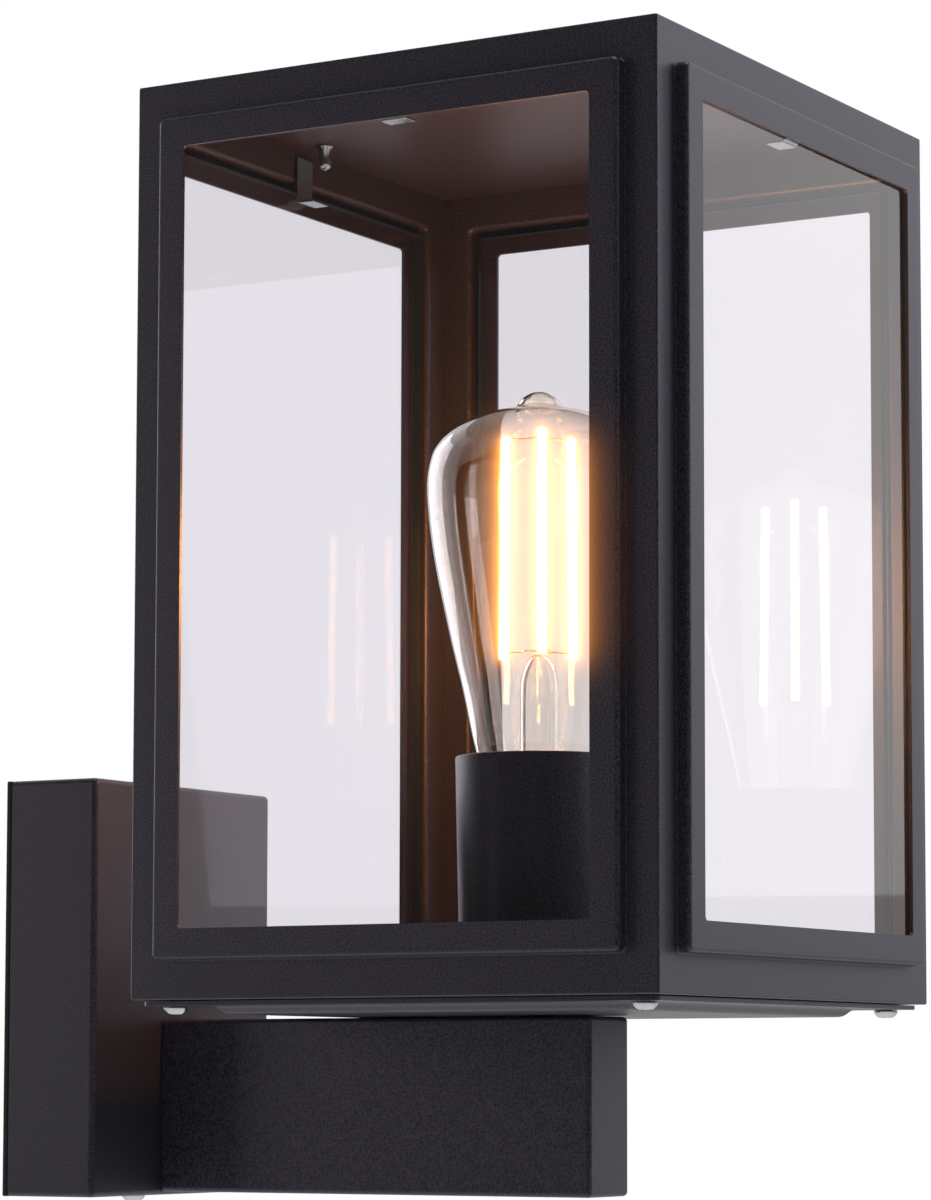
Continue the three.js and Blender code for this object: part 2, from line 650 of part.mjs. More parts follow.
const filamentTop = lampTip - filamentBelowTip;
const filamentBottom = filamentTop - filamentLength;
add('lamp_stem', turned([
  [0, neckBottom + 2],
  [neckRadius - lampGlass - 2 * gap, neckBottom + 2],
  [stemRadius + 1, neckBottom + 8],
  [stemRadius, neckBottom + 14],
  [stemRadius, filamentBottom - 4],
  [stemRadius * 0.6, filamentBottom],
  [0, filamentBottom + 1],
], 20), clearGlass);

const ringPoint = (radius, i, z) => {
  const angle = THREE.MathUtils.degToRad(filamentTurn + (360 / turns.length) * i);
  return new THREE.Vector3(radius * Math.cos(angle), lampY + radius * Math.sin(angle), z);
};
const turns = [0, 1, 2];
for (const i of turns) {
  add(`lamp_filament_${i + 1}`, rod(filamentRadius, ringPoint(filamentBottomRing, i, filamentBottom),
    ringPoint(filamentTopRing, i, filamentTop), 10), glow);
}

// wires hold the filaments: a middle post on the stem, with a cross of arms at each end
const wireStop = filamentRadius + gap;
const postBottom = filamentBottom + 1 + gap;
const onAxis = (z) => new THREE.Vector3(0, lampY, z);
const wireArms = (ring, z) => turns.map((i) =>
  rod(wireRadius, onAxis(z), ringPoint(ring - wireStop, i, z), 8));
add('lamp_wires', join(
  rod(wireRadius, onAxis(postBottom), onAxis(filamentTop), 8),
  ...wireArms(filamentTopRing, filamentTop - wireRadius),
  ...wireArms(filamentBottomRing, postBottom + wireRadius),
), plated);

// ---------------------------------------------------------------- leads
function lead(name, color, points) {
  const curve = new THREE.CatmullRomCurve3(points.map((point) => new THREE.Vector3(...point)));
  const ring = [0, 1, 2, 3, 4, 5, 6, 7].map((i) => new THREE.Vector2(leadRadius, 0)
    .rotateAround(new THREE.Vector2(), i * Math.PI / 4));
  const steps = Math.ceil(curve.getLength() / (6 * leadRadius));
  const tube = new THREE.ExtrudeGeometry(new THREE.Shape(ring), {
    extrudePath: curve, steps, bevelEnabled: false,
  });
  add(name, tube, finish(color, 0.6, 0.0));
}

const leadSpread = 1.7;
const leadEnd = socketFloorTop - socketFloor - 1;
const nippleMiddle = (nippleBottom + sleeveFloor) / 2;
[['lead_live', 0x6b3f22, poles[0], -leadSpread], ['lead_neutral', 0x2f5fa8, poles[1], leadSpread]]
  .forEach(([name, color, pole, x]) => lead(name, color, [
    [pole, terminalY, terminalBottom + terminalHeight / 2],
    [pole, terminalY, terminalBottom - 3],
    [(pole + x) / 2, (terminalY + boxFront) / 2, (terminalBottom + armMiddle) / 2],
    [x, boxInnerFront + 4, armMiddle + 2],
    [x, boxFront, armMiddle],
    [x, armBack - armPlate - 4, armMiddle],
    [x, (armBack + lampY) / 2, armMiddle],
    [x, lampY + 18, armMiddle + 2],
    [x, lampY + 3, armMiddle + 9],
    [x, lampY, nippleBottom - 3],
    [x, lampY, nippleMiddle],
    [x, lampY, leadEnd],
  ]));
lead('lead_earth', 0x6f9a3a, [
  [poles[2], terminalY, terminalBottom + terminalHeight / 2],
  [poles[2], terminalY, terminalBottom - 2],
  [poles[2], terminalY + 2, earthScrewZ + screwHeadDiameter / 2 + 3],
  [poles[2], -bracketThickness - leadRadius - gap, earthScrewZ + screwHeadDiameter / 2 + gap],
]);

export default lantern;
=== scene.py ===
import json
import math
import bmesh
import bpy
from mathutils import Matrix, Vector

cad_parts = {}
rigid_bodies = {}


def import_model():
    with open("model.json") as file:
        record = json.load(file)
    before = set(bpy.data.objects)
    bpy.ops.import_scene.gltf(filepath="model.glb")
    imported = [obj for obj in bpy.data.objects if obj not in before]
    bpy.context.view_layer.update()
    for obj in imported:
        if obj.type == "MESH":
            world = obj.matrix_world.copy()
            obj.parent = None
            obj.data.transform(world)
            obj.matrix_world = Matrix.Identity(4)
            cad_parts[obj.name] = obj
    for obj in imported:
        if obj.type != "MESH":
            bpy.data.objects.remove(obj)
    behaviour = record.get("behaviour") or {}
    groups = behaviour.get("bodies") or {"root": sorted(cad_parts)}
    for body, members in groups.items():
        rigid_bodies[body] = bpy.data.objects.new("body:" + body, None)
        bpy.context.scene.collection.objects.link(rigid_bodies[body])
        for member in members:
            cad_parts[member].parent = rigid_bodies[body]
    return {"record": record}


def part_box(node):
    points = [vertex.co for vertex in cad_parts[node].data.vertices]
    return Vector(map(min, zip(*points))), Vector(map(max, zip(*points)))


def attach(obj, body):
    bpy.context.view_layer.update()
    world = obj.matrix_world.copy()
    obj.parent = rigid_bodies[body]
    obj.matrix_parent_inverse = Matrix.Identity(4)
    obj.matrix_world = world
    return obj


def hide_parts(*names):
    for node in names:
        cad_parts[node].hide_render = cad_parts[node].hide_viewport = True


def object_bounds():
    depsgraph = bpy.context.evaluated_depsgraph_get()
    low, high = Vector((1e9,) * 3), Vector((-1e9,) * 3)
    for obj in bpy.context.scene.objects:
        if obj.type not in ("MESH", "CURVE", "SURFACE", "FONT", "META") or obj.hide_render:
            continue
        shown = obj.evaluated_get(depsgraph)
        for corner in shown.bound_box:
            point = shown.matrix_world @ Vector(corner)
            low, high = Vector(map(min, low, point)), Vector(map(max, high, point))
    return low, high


# Outdoor wall lantern. Metres, +X along the wall, +Y into the wall, +Z up. The lantern stands at
# negative Y, so its front faces -Y. Sizes that the frame doesn't give are written in millimetres.
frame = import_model()
cad_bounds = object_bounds()
mm = 0.001

# ---------------------------------------------------------------- camera
# Low and to the left of the front, far off behind a long lens, so that the upright edges stay
# almost parallel. The small shift moves the frame over the lantern without tipping the camera.
camera = bpy.data.objects.new("camera", bpy.data.cameras.new("camera"))
bpy.context.collection.objects.link(camera)
bpy.context.scene.camera = camera
heading = math.radians(29.54)
climb = math.radians(5.21)
level_reach = math.cos(climb)
sight = Vector((math.cos(heading) * level_reach, math.sin(heading) * level_reach, math.sin(climb)))
camera.location = (-0.9984, -0.7252, -0.0278)
camera.rotation_euler = sight.to_track_quat("-Z", "Y").to_euler()
camera.data.lens = 122.6
camera.data.shift_x = -0.0781
camera.data.shift_y = 0.0929

# ---------------------------------------------------------------- studio
# A pale painted floor 1.6 m under the lantern, which hangs at the height it has on a wall, a white
# sweep all round, and a soft box in front, above, behind and on either side.


def linear(code):
    """An sRGB colour such as "#2b2b2d" as linear red, green, blue and alpha."""
    channels = [int(code[start:start + 2], 16) / 255 for start in (1, 3, 5)]
    return [c / 12.92 if c <= 0.04045 else ((c + 0.055) / 1.055) ** 2.4 for c in channels] + [1.0]


def add_node(tree, kind, inputs=None, **settings):
    """Adds a node. An input is a value or another node's output; the rest are the node's settings."""
    node = tree.nodes.new(kind)
    for name, value in settings.items():
        setattr(node, name, value)
    for name, value in (inputs or {}).items():
        if isinstance(value, bpy.types.NodeSocket):
            tree.links.new(value, node.inputs[name])
        else:
            node.inputs[name].default_value = value
    return node


def bare_material(name):
    """A new material with an empty node tree."""
    material = bpy.data.materials.new(name)
    material.use_nodes = True
    material.node_tree.nodes.clear()
    return material


bpy.context.scene.view_settings.view_transform = "Standard"

painted_floor = bare_material("matt painted floor")
tree = painted_floor.node_tree
coords = add_node(tree, "ShaderNodeTexCoord")
mottle = add_node(tree, "ShaderNodeTexNoise", {"Vector": coords.outputs["Object"], "Scale": 3.0})
tint = add_node(tree, "ShaderNodeMix", {
    "Factor": mottle.outputs["Fac"], 6: linear("#f4f4f3"), 7: linear("#f8f8f7"),
}, data_type="RGBA")
# a little light of its own stands in for the lamps that light the floor of a studio
paint = add_node(tree, "ShaderNodeBsdfPrincipled", {
    "Base Color": tint.outputs[2], "Roughness": 0.9,
    "Emission Color": linear("#ffffff"), "Emission Strength": 0.35,
})
add_node(tree, "ShaderNodeOutputMaterial", {"Surface": paint.outputs[0]})

floor_radius = 12
floor_drop = 1.6
floor_mesh = bmesh.new()
bmesh.ops.create_circle(floor_mesh, cap_ends=True, segments=96, radius=floor_radius)
bmesh.ops.translate(floor_mesh, verts=floor_mesh.verts, vec=(0, 0, -floor_drop))
floor_data = bpy.data.meshes.new("floor")
floor_mesh.to_mesh(floor_data)
floor_data.materials.append(painted_floor)
floor = bpy.data.objects.new("floor", floor_data)
bpy.context.collection.objects.link(floor)

# the sweep is seen as plain white; it lights the lantern from behind, and hardly from the front
world = bpy.data.worlds.new("white sweep")
bpy.context.scene.world = world
world.use_nodes = True
tree = world.node_tree
tree.nodes.clear()
rearwards = (0.87, 0.49, 0.0)
coords = add_node(tree, "ShaderNodeTexCoord")
behind = add_node(tree, "ShaderNodeVectorMath", {0: coords.outputs["Generated"], 1: rearwards},
                  operation="DOT_PRODUCT")
glow = add_node(tree, "ShaderNodeMapRange", {
    "Value": behind.outputs["Value"], "From Min": -0.1, "From Max": 0.7, "To Min": 0.05, "To Max": 0.85,
}, interpolation_type="SMOOTHSTEP")
sweep = add_node(tree, "ShaderNodeBackground", {
    "Color": linear("#ffffff"), "Strength": glow.outputs[0],
})
white = add_node(tree, "ShaderNodeBackground", {"Color": linear("#ffffff"), "Strength": 1.0})
ray = add_node(tree, "ShaderNodeLightPath")
seen = add_node(tree, "ShaderNodeMath", {
    0: ray.outputs["Is Camera Ray"], 1: ray.outputs["Is Transmission Ray"],
}, operation="MAXIMUM")
shown = add_node(tree, "ShaderNodeMixShader", {
    0: seen.outputs[0], 1: sweep.outputs[0], 2: white.outputs[0],
})
add_node(tree, "ShaderNodeOutputWorld", {"Surface": shown.outputs[0]})

# only the lit filaments are bright enough to bloom in the lens
bpy.context.scene.use_nodes = True
tree = bpy.context.scene.node_tree
tree.nodes.clear()
picture = add_node(tree, "CompositorNodeRLayers")
bloom = add_node(tree, "CompositorNodeGlare", {
    "Image": picture.outputs["Image"], "Threshold": 4.0, "Smoothness": 0.1, "Clamp": True,
    "Maximum": 12.0, "Strength": 1.0, "Size": 0.15, "Tint": linear("#ffd48c"),
}, glare_type="FOG_GLOW", quality="HIGH")
halo = add_node(tree, "CompositorNodeExposure", {"Image": bloom.outputs["Glare"], "Exposure": 1.4})
haloed = add_node(tree, "CompositorNodeMixRGB", {
    0: 1.0, 1: picture.outputs["Image"], 2: halo.outputs[0],
}, blend_type="ADD")
add_node(tree, "CompositorNodeComposite", {"Image": haloed.outputs[0]})

aim = (cad_bounds[0] + cad_bounds[1]) / 2
for name, place, size, power, color in [
    ("front soft box", (0.9, -1.9, 1.0), 1.3, 20, "#fbfaff"),
    ("right soft box", (2.1, -0.8, 0.8), 1.4, 4, "#fbfaff"),
    ("top soft box", (-0.2, -0.4, 1.9), 1.2, 22, "#ffffff"),
    ("left soft box", (-1.9, 2.1, 0.4), 1.2, 10, "#fff7f3"),
    ("rear soft box", (0.6, 1.8, 0.6), 1.4, 16, "#ffffff"),
]:
    soft_box = bpy.data.objects.new(name, bpy.data.lights.new(name, "AREA"))
    bpy.context.collection.objects.link(soft_box)
    soft_box.data.size = size
    soft_box.data.energy = power
    soft_box.data.color = linear(color)[:3]
    soft_box.location = place
    soft_box.rotation_euler = (aim - soft_box.location).to_track_quat("-Z", "Y").to_euler()

# ---------------------------------------------------------------- wall bracket
# A flat steel strip with an ear bent forward at each end, laser cut and zinc plated. Two level
# slots take the wall screws, the round hole takes the mains cable and its grommet.

body_nodes = frame["record"]["behaviour"]["bodies"]
body_of = {node: body for body, nodes in body_nodes.items() for node in nodes}


def metal_finish(name, light, dark, roughness, grain):
    """A plated or bare metal: `grain` is the size of its cloudy spots, in metres."""
    material = bare_material(name)
    tree = material.node_tree
    coords = add_node(tree, "ShaderNodeTexCoord")
    clouds = add_node(tree, "ShaderNodeTexNoise",
                      {"Vector": coords.outputs["Object"], "Scale": 1 / grain, "Detail": 4.0})
    tone = add_node(tree, "ShaderNodeMix", {
        "Factor": clouds.outputs["Fac"], 6: linear(light), 7: linear(dark),
    }, data_type="RGBA")
    gloss = add_node(tree, "ShaderNodeMapRange", {
        "Value": clouds.outputs["Fac"], "To Min": roughness * 0.7, "To Max": roughness * 1.3,
    })
    surface = add_node(tree, "ShaderNodeBsdfPrincipled", {
        "Base Color": tone.outputs[2], "Metallic": 1.0, "Roughness": gloss.outputs[0],
    })
    add_node(tree, "ShaderNodeOutputMaterial", {"Surface": surface.outputs[0]})
    return material


# bright zinc over steel: cool and cloudy, with soft highlights
zinc_plate = metal_finish("bright zinc plated steel", "#c9cbca", "#a9acad", 0.20, 6 * mm)


def eased(points, radius, steps=4, closed=False):
    """An outline with its corners rounded."""
    points = [Vector(point) for point in points]
    result = []
    for i, corner in enumerate(points):
        if not closed and i in (0, len(points) - 1):
            result.append(corner)
            continue
        back = points[i - 1] - corner
        on = points[(i + 1) % len(points)] - corner
        start = corner + back.normalized() * min(radius, back.length / 2)
        end = corner + on.normalized() * min(radius, on.length / 2)
        for step in range(steps + 1):
            t = step / steps
            result.append(start * (1 - t) ** 2 + corner * (2 * t * (1 - t)) + end * t ** 2)
    return result


def make_piece(name, bm, finish, *nodes):
    """A piece of its own finish, which stands for its CAD nodes and rides where they do."""
    bmesh.ops.remove_doubles(bm, verts=bm.verts, dist=0.002 * mm)
    bmesh.ops.recalc_face_normals(bm, faces=bm.faces)
    mesh = bpy.data.meshes.new(name)
    bm.to_mesh(mesh)
    bm.free()
    mesh.polygons.foreach_set("use_smooth", [True] * len(mesh.polygons))
    mesh.set_sharp_from_angle(angle=math.radians(40))
    mesh.materials.append(finish)
    piece = bpy.data.objects.new(name, mesh)
    bpy.context.collection.objects.link(piece)
    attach(piece, body_of[nodes[0]])
    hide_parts(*nodes)
    return piece


def soften(piece, radius, segments=2):
    """Rounds the piece's sharp edges a little and keeps its flat faces flat in the light."""
    edges = piece.modifiers.new("edges", "BEVEL")
    edges.width = radius
    edges.segments = segments
    edges.limit_method = "ANGLE"
    edges.angle_limit = math.radians(50)
    piece.modifiers.new("normals", "WEIGHTED_NORMAL").keep_sharp = True


def settle(piece):
    """Turns the piece's modifiers into its mesh."""
    mesh = bpy.data.meshes.new_from_object(piece.evaluated_get(bpy.context.evaluated_depsgraph_get()))
    piece.modifiers.clear()
    piece.data = mesh


def prism(outline, start, end):
    """A solid of one outline in the XY plane, between two heights."""
    bm = bmesh.new()
    face = bm.faces.new([bm.verts.new((x, y, start)) for x, y in outline])
    top = bmesh.ops.extrude_face_region(bm, geom=[face])["geom"]
    moved = [item for item in top if isinstance(item, bmesh.types.BMVert)]
    bmesh.ops.translate(bm, verts=moved, vec=(0, 0, end - start))
    return bm


def merge(whole, part):
    """Adds a mesh to another and lets it go."""
    mesh = bpy.data.meshes.new("part")
    part.to_mesh(mesh)
    part.free()
    whole.from_mesh(mesh)


def cut(piece, shape, crossed=False):
    """Takes a shape out of a piece. `crossed` says that the shape's own parts run through each other."""
    mesh = bpy.data.meshes.new("cutter")
    shape.to_mesh(mesh)
    shape.free()
    cutter = bpy.data.objects.new("cutter", mesh)
    bpy.context.collection.objects.link(cutter)
    difference = piece.modifiers.new("cut", "BOOLEAN")
    difference.object = cutter
    difference.solver = "EXACT"
    difference.use_self = crossed
    settle(piece)
    bpy.data.objects.remove(cutter)


def punch(piece, holes):
    """Cuts holes. Each is its middle, direction, radius, depth and extra length along X."""
    cutters = bmesh.new()
    for middle, direction, radius, depth, stretch in holes:
        outline = []
        for step in range(32):
            angle = 2 * math.pi * (step + 0.5) / 32
            side = math.copysign(stretch / 2, math.cos(angle))
            outline.append((side + radius * math.cos(angle), radius * math.sin(angle)))
        tool = prism(outline, -depth / 2, depth / 2)
        turn = Vector((0, 0, 1)).rotation_difference(Vector(direction)).to_matrix().to_4x4()
        tool.transform(Matrix.Translation(middle) @ turn)
        merge(cutters, tool)
    bmesh.ops.recalc_face_normals(cutters, faces=cutters.faces)
    cut(piece, cutters)


def bent_strip(path, thickness, width):
    """A flat strip bent along a path of (y, z) points, with its width along X."""
    bm = bmesh.new()
    sides = []
    for i, point in enumerate(path):
        along = (path[min(i + 1, len(path) - 1)] - path[max(i - 1, 0)]).normalized()
        across = Vector((-along.y, along.x)) * thickness / 2
        sides.append((point + across, point - across))
    outline = [left for left, right in sides] + [right for left, right in reversed(sides)]
    bm.faces.new([bm.verts.new((-width / 2, y, z)) for y, z in outline])
    far = bmesh.ops.extrude_face_region(bm, geom=bm.faces[:])["geom"]
    moved = [item for item in far if isinstance(item, bmesh.types.BMVert)]
    bmesh.ops.translate(bm, verts=moved, vec=(width, 0, 0))
    return bm


low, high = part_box("wall_bracket")
strip = 2 * mm
strip_line = [
    (low.y, high.z - strip / 2), (-strip / 2, high.z - strip / 2),
    (-strip / 2, low.z + strip / 2), (low.y, low.z + strip / 2),
]
strip_bend = 2.4 * mm
bracket = bent_strip(eased(strip_line, strip_bend), strip, high.x - low.x)
bracket = make_piece("wall_bracket_strip", bracket, zinc_plate, "wall_bracket")
grommet_low, grommet_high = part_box("inlet_grommet")
cable_level = (grommet_low.z + grommet_high.z) / 2
cover_low, cover_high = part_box("cover_screw_top")
cover_screw_y = (cover_low.y + cover_high.y) / 2
earth_low, earth_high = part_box("earth_screw")
earth_middle = (earth_low + earth_high) / 2
slot_level = 34 * mm
slot_end = 2.5 * mm  # radius of the slot's round ends, which stand slot_stretch apart
slot_stretch = 9 * mm
cable_hole = 6 * mm
earth_hole = 1.8 * mm
ear_hole = 2.2 * mm
through = 10 * mm
punch(bracket, [
    ((0, 0, slot_level), (0, 1, 0), slot_end, through, slot_stretch),
    ((0, 0, -slot_level), (0, 1, 0), slot_end, through, slot_stretch),
    ((0, 0, cable_level), (0, 1, 0), cable_hole, through, 0),
    ((earth_middle.x, 0, earth_middle.z), (0, 1, 0), earth_hole, through, 0),
    ((0, cover_screw_y, high.z), (0, 0, 1), ear_hole, through, 0),
    ((0, cover_screw_y, low.z), (0, 0, 1), ear_hole, through, 0),
])
soften(bracket, 0.3 * mm)

# ---------------------------------------------------------------- gasket and grommet
# Black closed-cell rubber: a thin frame pressed between the wall box and the wall, and a lipped
# ring round the mains inlet. Rubber is matt, with a fine skin.


def moulded(name, color, roughness, grain, depth):
    """A moulded or foamed surface with a fine grain of the given size and depth, in metres."""
    material = bare_material(name)
    tree = material.node_tree
    coords = add_node(tree, "ShaderNodeTexCoord")
    skin = add_node(tree, "ShaderNodeTexNoise",
                    {"Vector": coords.outputs["Object"], "Scale": 1 / grain, "Detail": 3.0})
    relief = add_node(tree, "ShaderNodeBump", {
        "Height": skin.outputs["Fac"], "Strength": 0.5, "Distance": depth,
    })
    sheen = add_node(tree, "ShaderNodeMapRange", {
        "Value": skin.outputs["Fac"], "To Min": roughness - 0.08, "To Max": roughness + 0.08,
    })
    surface = add_node(tree, "ShaderNodeBsdfPrincipled", {
        "Base Color": linear(color), "Roughness": sheen.outputs[0], "Normal": relief.outputs[0],
    })
    add_node(tree, "ShaderNodeOutputMaterial", {"Surface": surface.outputs[0]})
    return material


def spin(profile, steps=64, axis=(0, 0)):
    """A body turned about an upright axis from an outline of (radius, height) points."""
    bm = bmesh.new()
    columns = []
    for step in range(steps):
        angle = 2 * math.pi * step / steps
        columns.append([bm.verts.new((axis[0] + r * math.cos(angle), axis[1] + r * math.sin(angle), z))
                        for r, z in profile])
    for near, far in zip(columns, columns[1:] + columns[:1]):
        for i in range(len(profile) - 1):
            bm.faces.new((near[i], far[i], far[i + 1], near[i + 1]))
    return bm


black_rubber = moulded("black closed-cell rubber", "#1d1d1e", 0.85, 0.8 * mm, 0.08 * mm)
low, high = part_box("wall_gasket")
gasket_width = 3 * mm
gasket = bmesh.new()
rings = []
for inset, y in [(0, low.y), (0, high.y), (gasket_width, high.y), (gasket_width, low.y), (0, low.y)]:
    corners = [(low.x + inset, low.z + inset), (high.x - inset, low.z + inset),
               (high.x - inset, high.z - inset), (low.x + inset, high.z - inset)]
    rings.append([gasket.verts.new((x, y, z)) for x, z in corners])
for inner, outer in zip(rings, rings[1:]):
    for i in range(4):
        gasket.faces.new((inner[i], inner[i - 1], outer[i - 1], outer[i]))
soften(make_piece("wall_gasket_frame", gasket, black_rubber, "wall_gasket"), 0.5 * mm, 3)

low, high = grommet_low, grommet_high
bore = 3.5 * mm
neck = 5.7 * mm
lip = (high.x - low.x) / 2
lip_back = -2.3 * mm
grommet = spin(eased([
    (bore, low.y), (lip, low.y), (lip, lip_back), (neck, lip_back), (neck, 0), (bore, 0),
], 0.6 * mm, closed=True) + [Vector((bore, low.y + 0.6 * mm))], 48)
grommet.transform(Matrix.Translation((0, 0, cable_level)) @ Matrix.Rotation(math.radians(-90), 4, "X"))
make_piece("inlet_grommet_ring", grommet, black_rubber, "inlet_grommet")

# ---------------------------------------------------------------- terminal block and earth screw
# A three-pole block moulded in ivory nylon, with a clamping screw in a well over each pole, and a
# brass earth screw in the bracket.
ivory_nylon = moulded("ivory moulded nylon", "#e2dcc8", 0.45, 1.0 * mm, 0.02 * mm)
brass = metal_finish("plain brass", "#d9b26a", "#c49a4e", 0.28, 5 * mm)
low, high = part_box("terminal_block")
terminal_middle = (low + high) / 2
pole_pitch = (high.x - low.x) / 3
poles = [terminal_middle.x + step * pole_pitch for step in (-1, 0, 1)]
block = prism(eased([
    (low.x, low.y + 4 * mm), (low.x + 1.5 * mm, low.y), (high.x - 1.5 * mm, low.y),
    (high.x, low.y + 4 * mm), (high.x, high.y), (low.x, high.y),
], 0.8 * mm, closed=True), low.z, high.z)
terminal_block = make_piece("terminal_block_moulding", block, ivory_nylon, "terminal_block")
well_depth = 5 * mm
well_radius = 2.6 * mm
wire_way = 1.6 * mm
punch(terminal_block, [
    *[((x, low.y, terminal_middle.z), (0, 1, 0), well_radius, 2 * well_depth, 0) for x in poles],
    *[((x, terminal_middle.y, terminal_middle.z), (0, 0, 1), wire_way, 40 * mm, 0) for x in poles],
])
soften(terminal_block, 0.25 * mm)
pole_screws = bmesh.new()
pole_screw_radius = 2.3 * mm
pole_screw_height = 2 * mm
for x in poles:
    screw = spin(eased([
        (0, 0), (pole_screw_radius, 0), (pole_screw_radius, pole_screw_height), (0, pole_screw_height),
    ], 0.4 * mm), 32)
    seat = Matrix.Translation((x, low.y + well_depth - pole_screw_height, terminal_middle.z))
    screw.transform(seat @ Matrix.Rotation(math.radians(-90), 4, "X"))
    merge(pole_screws, screw)
terminal_screws = make_piece("terminal_screws", pole_screws, brass, "terminal_block")


def helix(radius, depth, pitch, start, end, sides=28):
    """A right-handed thread that runs out at both ends, as rows of (angle, radius, height) points."""
    rows = []
    count = max(2, math.ceil((end - start) / pitch * 8))
    for row in range(count + 1):
        z = start + (end - start) * row / count
        runout = min(1.0, 8 * row / count, 8 * (count - row) / count)
        points = []
        for side in range(sides):
            angle = 2 * math.pi * side / sides
            wave = 0.5 + 0.5 * math.cos(2 * math.pi * z / pitch - angle)
            points.append((angle, radius - depth * (1 - wave) * runout, z))
        rows.append(points)
    return rows


def threaded_bar(radius, depth, pitch, start, end):
    """An upright bar with a thread and closed ends."""
    bm = bmesh.new()
    rows = [[bm.verts.new((r * math.cos(a), r * math.sin(a), z)) for a, r, z in row]
            for row in helix(radius, depth, pitch, start, end)]
    for lower, upper in zip(rows, rows[1:]):
        for i in range(len(lower)):
            bm.faces.new((lower[i - 1], lower[i], upper[i], upper[i - 1]))
    bm.faces.new(list(reversed(rows[0])))
    bm.faces.new(rows[-1])
    return bm


def pan_head_screw(name, node, finish, direction):
    """A pan-head machine screw with a crossed recess, in its CAD node's box. `direction` is the way
    that the shank points, so the head is at the other end."""
    low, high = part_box(node)
    along = Vector(direction)
    length = abs((high - low).dot(along))
    widths = [high[i] - low[i] for i in range(3) if not abs(along[i])]
    head_radius = max(widths) / 2
    head_height = 2.2 * mm
    shank_radius = head_radius * 0.54
    bm = spin(eased([
        (0, 0), (head_radius * 0.62, 0.04 * head_height), (head_radius * 0.97, head_height * 0.62),
        (head_radius, head_height), (0, head_height),
    ], 0.5 * mm, 5), 40)
    bar = threaded_bar(shank_radius, 0.3 * mm, 0.7 * mm, head_height - 0.2 * mm, length)
    seat = (low + high) / 2 - along * length / 2
    place = Matrix.Translation(seat) @ Vector((0, 0, 1)).rotation_difference(along).to_matrix().to_4x4()
    bm.transform(place)
    bar.transform(place)
    piece = make_piece(name, bm, finish, node)
    recess = bmesh.new()
    for wide, deep in [(3.8, 0.9), (0.9, 3.8)]:
        blade = bmesh.ops.create_cube(recess, size=1)["verts"]
        bmesh.ops.scale(recess, verts=blade, vec=(wide * mm, deep * mm, 2.4 * mm))
    recess.transform(place)
    cut(piece, recess, crossed=True)
    whole = bmesh.new()
    whole.from_mesh(piece.data)
    merge(whole, bar)
    whole.to_mesh(piece.data)
    whole.free()
    piece.data.polygons.foreach_set("use_smooth", [True] * len(piece.data.polygons))
    piece.data.set_sharp_from_angle(angle=math.radians(40))


pan_head_screw("earth_clamp_screw", "earth_screw", brass, (0, 1, 0))

# ---------------------------------------------------------------- wall box and cover screws
# An open-backed box folded from sheet steel and powder coated black: a fine orange-peel skin,
# matt, with a soft broad shine. Two screws hold it to the bracket's ears.
powder_coat = bare_material("black fine-textured powder coat")
tree = powder_coat.node_tree
coords = add_node(tree, "ShaderNodeTexCoord")
# the real grain is about 0.2 mm; 0.5 mm is as fine as shows here
grain = add_node(tree, "ShaderNodeTexNoise",
                 {"Vector": coords.outputs["Object"], "Scale": 1 / (0.5 * mm), "Detail": 2.0})
speckle = add_node(tree, "ShaderNodeMapRange", {
    "Value": grain.outputs["Fac"], "From Min": 0.35, "From Max": 0.65,
})
tone = add_node(tree, "ShaderNodeMix", {
    "Factor": speckle.outputs[0], 6: linear("#0d0c10"), 7: linear("#3a3741"),
}, data_type="RGBA")
sheen = add_node(tree, "ShaderNodeMapRange", {
    "Value": speckle.outputs[0], "To Min": 0.34, "To Max": 0.48,
})
relief = add_node(tree, "ShaderNodeBump", {
    "Height": grain.outputs["Fac"], "Strength": 0.2, "Distance": 0.05 * mm,
})
coat = add_node(tree, "ShaderNodeBsdfPrincipled", {
    "Base Color": tone.outputs[2], "Roughness": sheen.outputs[0], "Normal": relief.outputs[0],
    "Specular Tint": linear("#dedbee"), "IOR": 1.5,
})
add_node(tree, "ShaderNodeOutputMaterial", {"Surface": coat.outputs[0]})


def rounded_rectangle(half_wide, half_high, radius, steps=5):
    """Points of a rectangle with round corners, in order round its middle."""
    points = []
    for quarter, (right, up) in enumerate([(1, 1), (-1, 1), (-1, -1), (1, -1)]):
        for step in range(steps + 1):
            angle = math.radians(90) * (quarter + step / steps)
            points.append((right * (half_wide - radius) + radius * math.cos(angle),
                           up * (half_high - radius) + radius * math.sin(angle)))
    return points


def skin(bm, rings):
    """Joins rings of as many vertices each with strips of faces."""
    for inner, outer in zip(rings, rings[1:]):
        for i in range(len(inner)):
            bm.faces.new((inner[i - 1], inner[i], outer[i], outer[i - 1]))


def folded_box(low, high, bend):
    """The outer skin of a box that is open at its back and folded to one bend radius."""
    bm = bmesh.new()
    middle = (low + high) / 2
    half = (high - low) / 2
    rings = []
    levels = [(0, high.y)]
    for step in range(6):
        angle = math.radians(90) * step / 5
        levels.append((bend * (1 - math.cos(angle)), low.y + bend * (1 - math.sin(angle))))
    for inset, y in levels:
        outline = rounded_rectangle(half.x - inset, half.z - inset, max(bend - inset, 0))
        rings.append([bm.verts.new((middle.x + x, y, middle.z + z)) for x, z in outline])
    skin(bm, rings)
    bm.faces.new(rings[-1][::6])
    return bm


def thicken(piece, thickness):
    """Gives a skin the thickness of its sheet, inwards."""
    wall = piece.modifiers.new("sheet", "SOLIDIFY")
    wall.thickness = thickness
    wall.offset = -1
    wall.use_even_offset = True


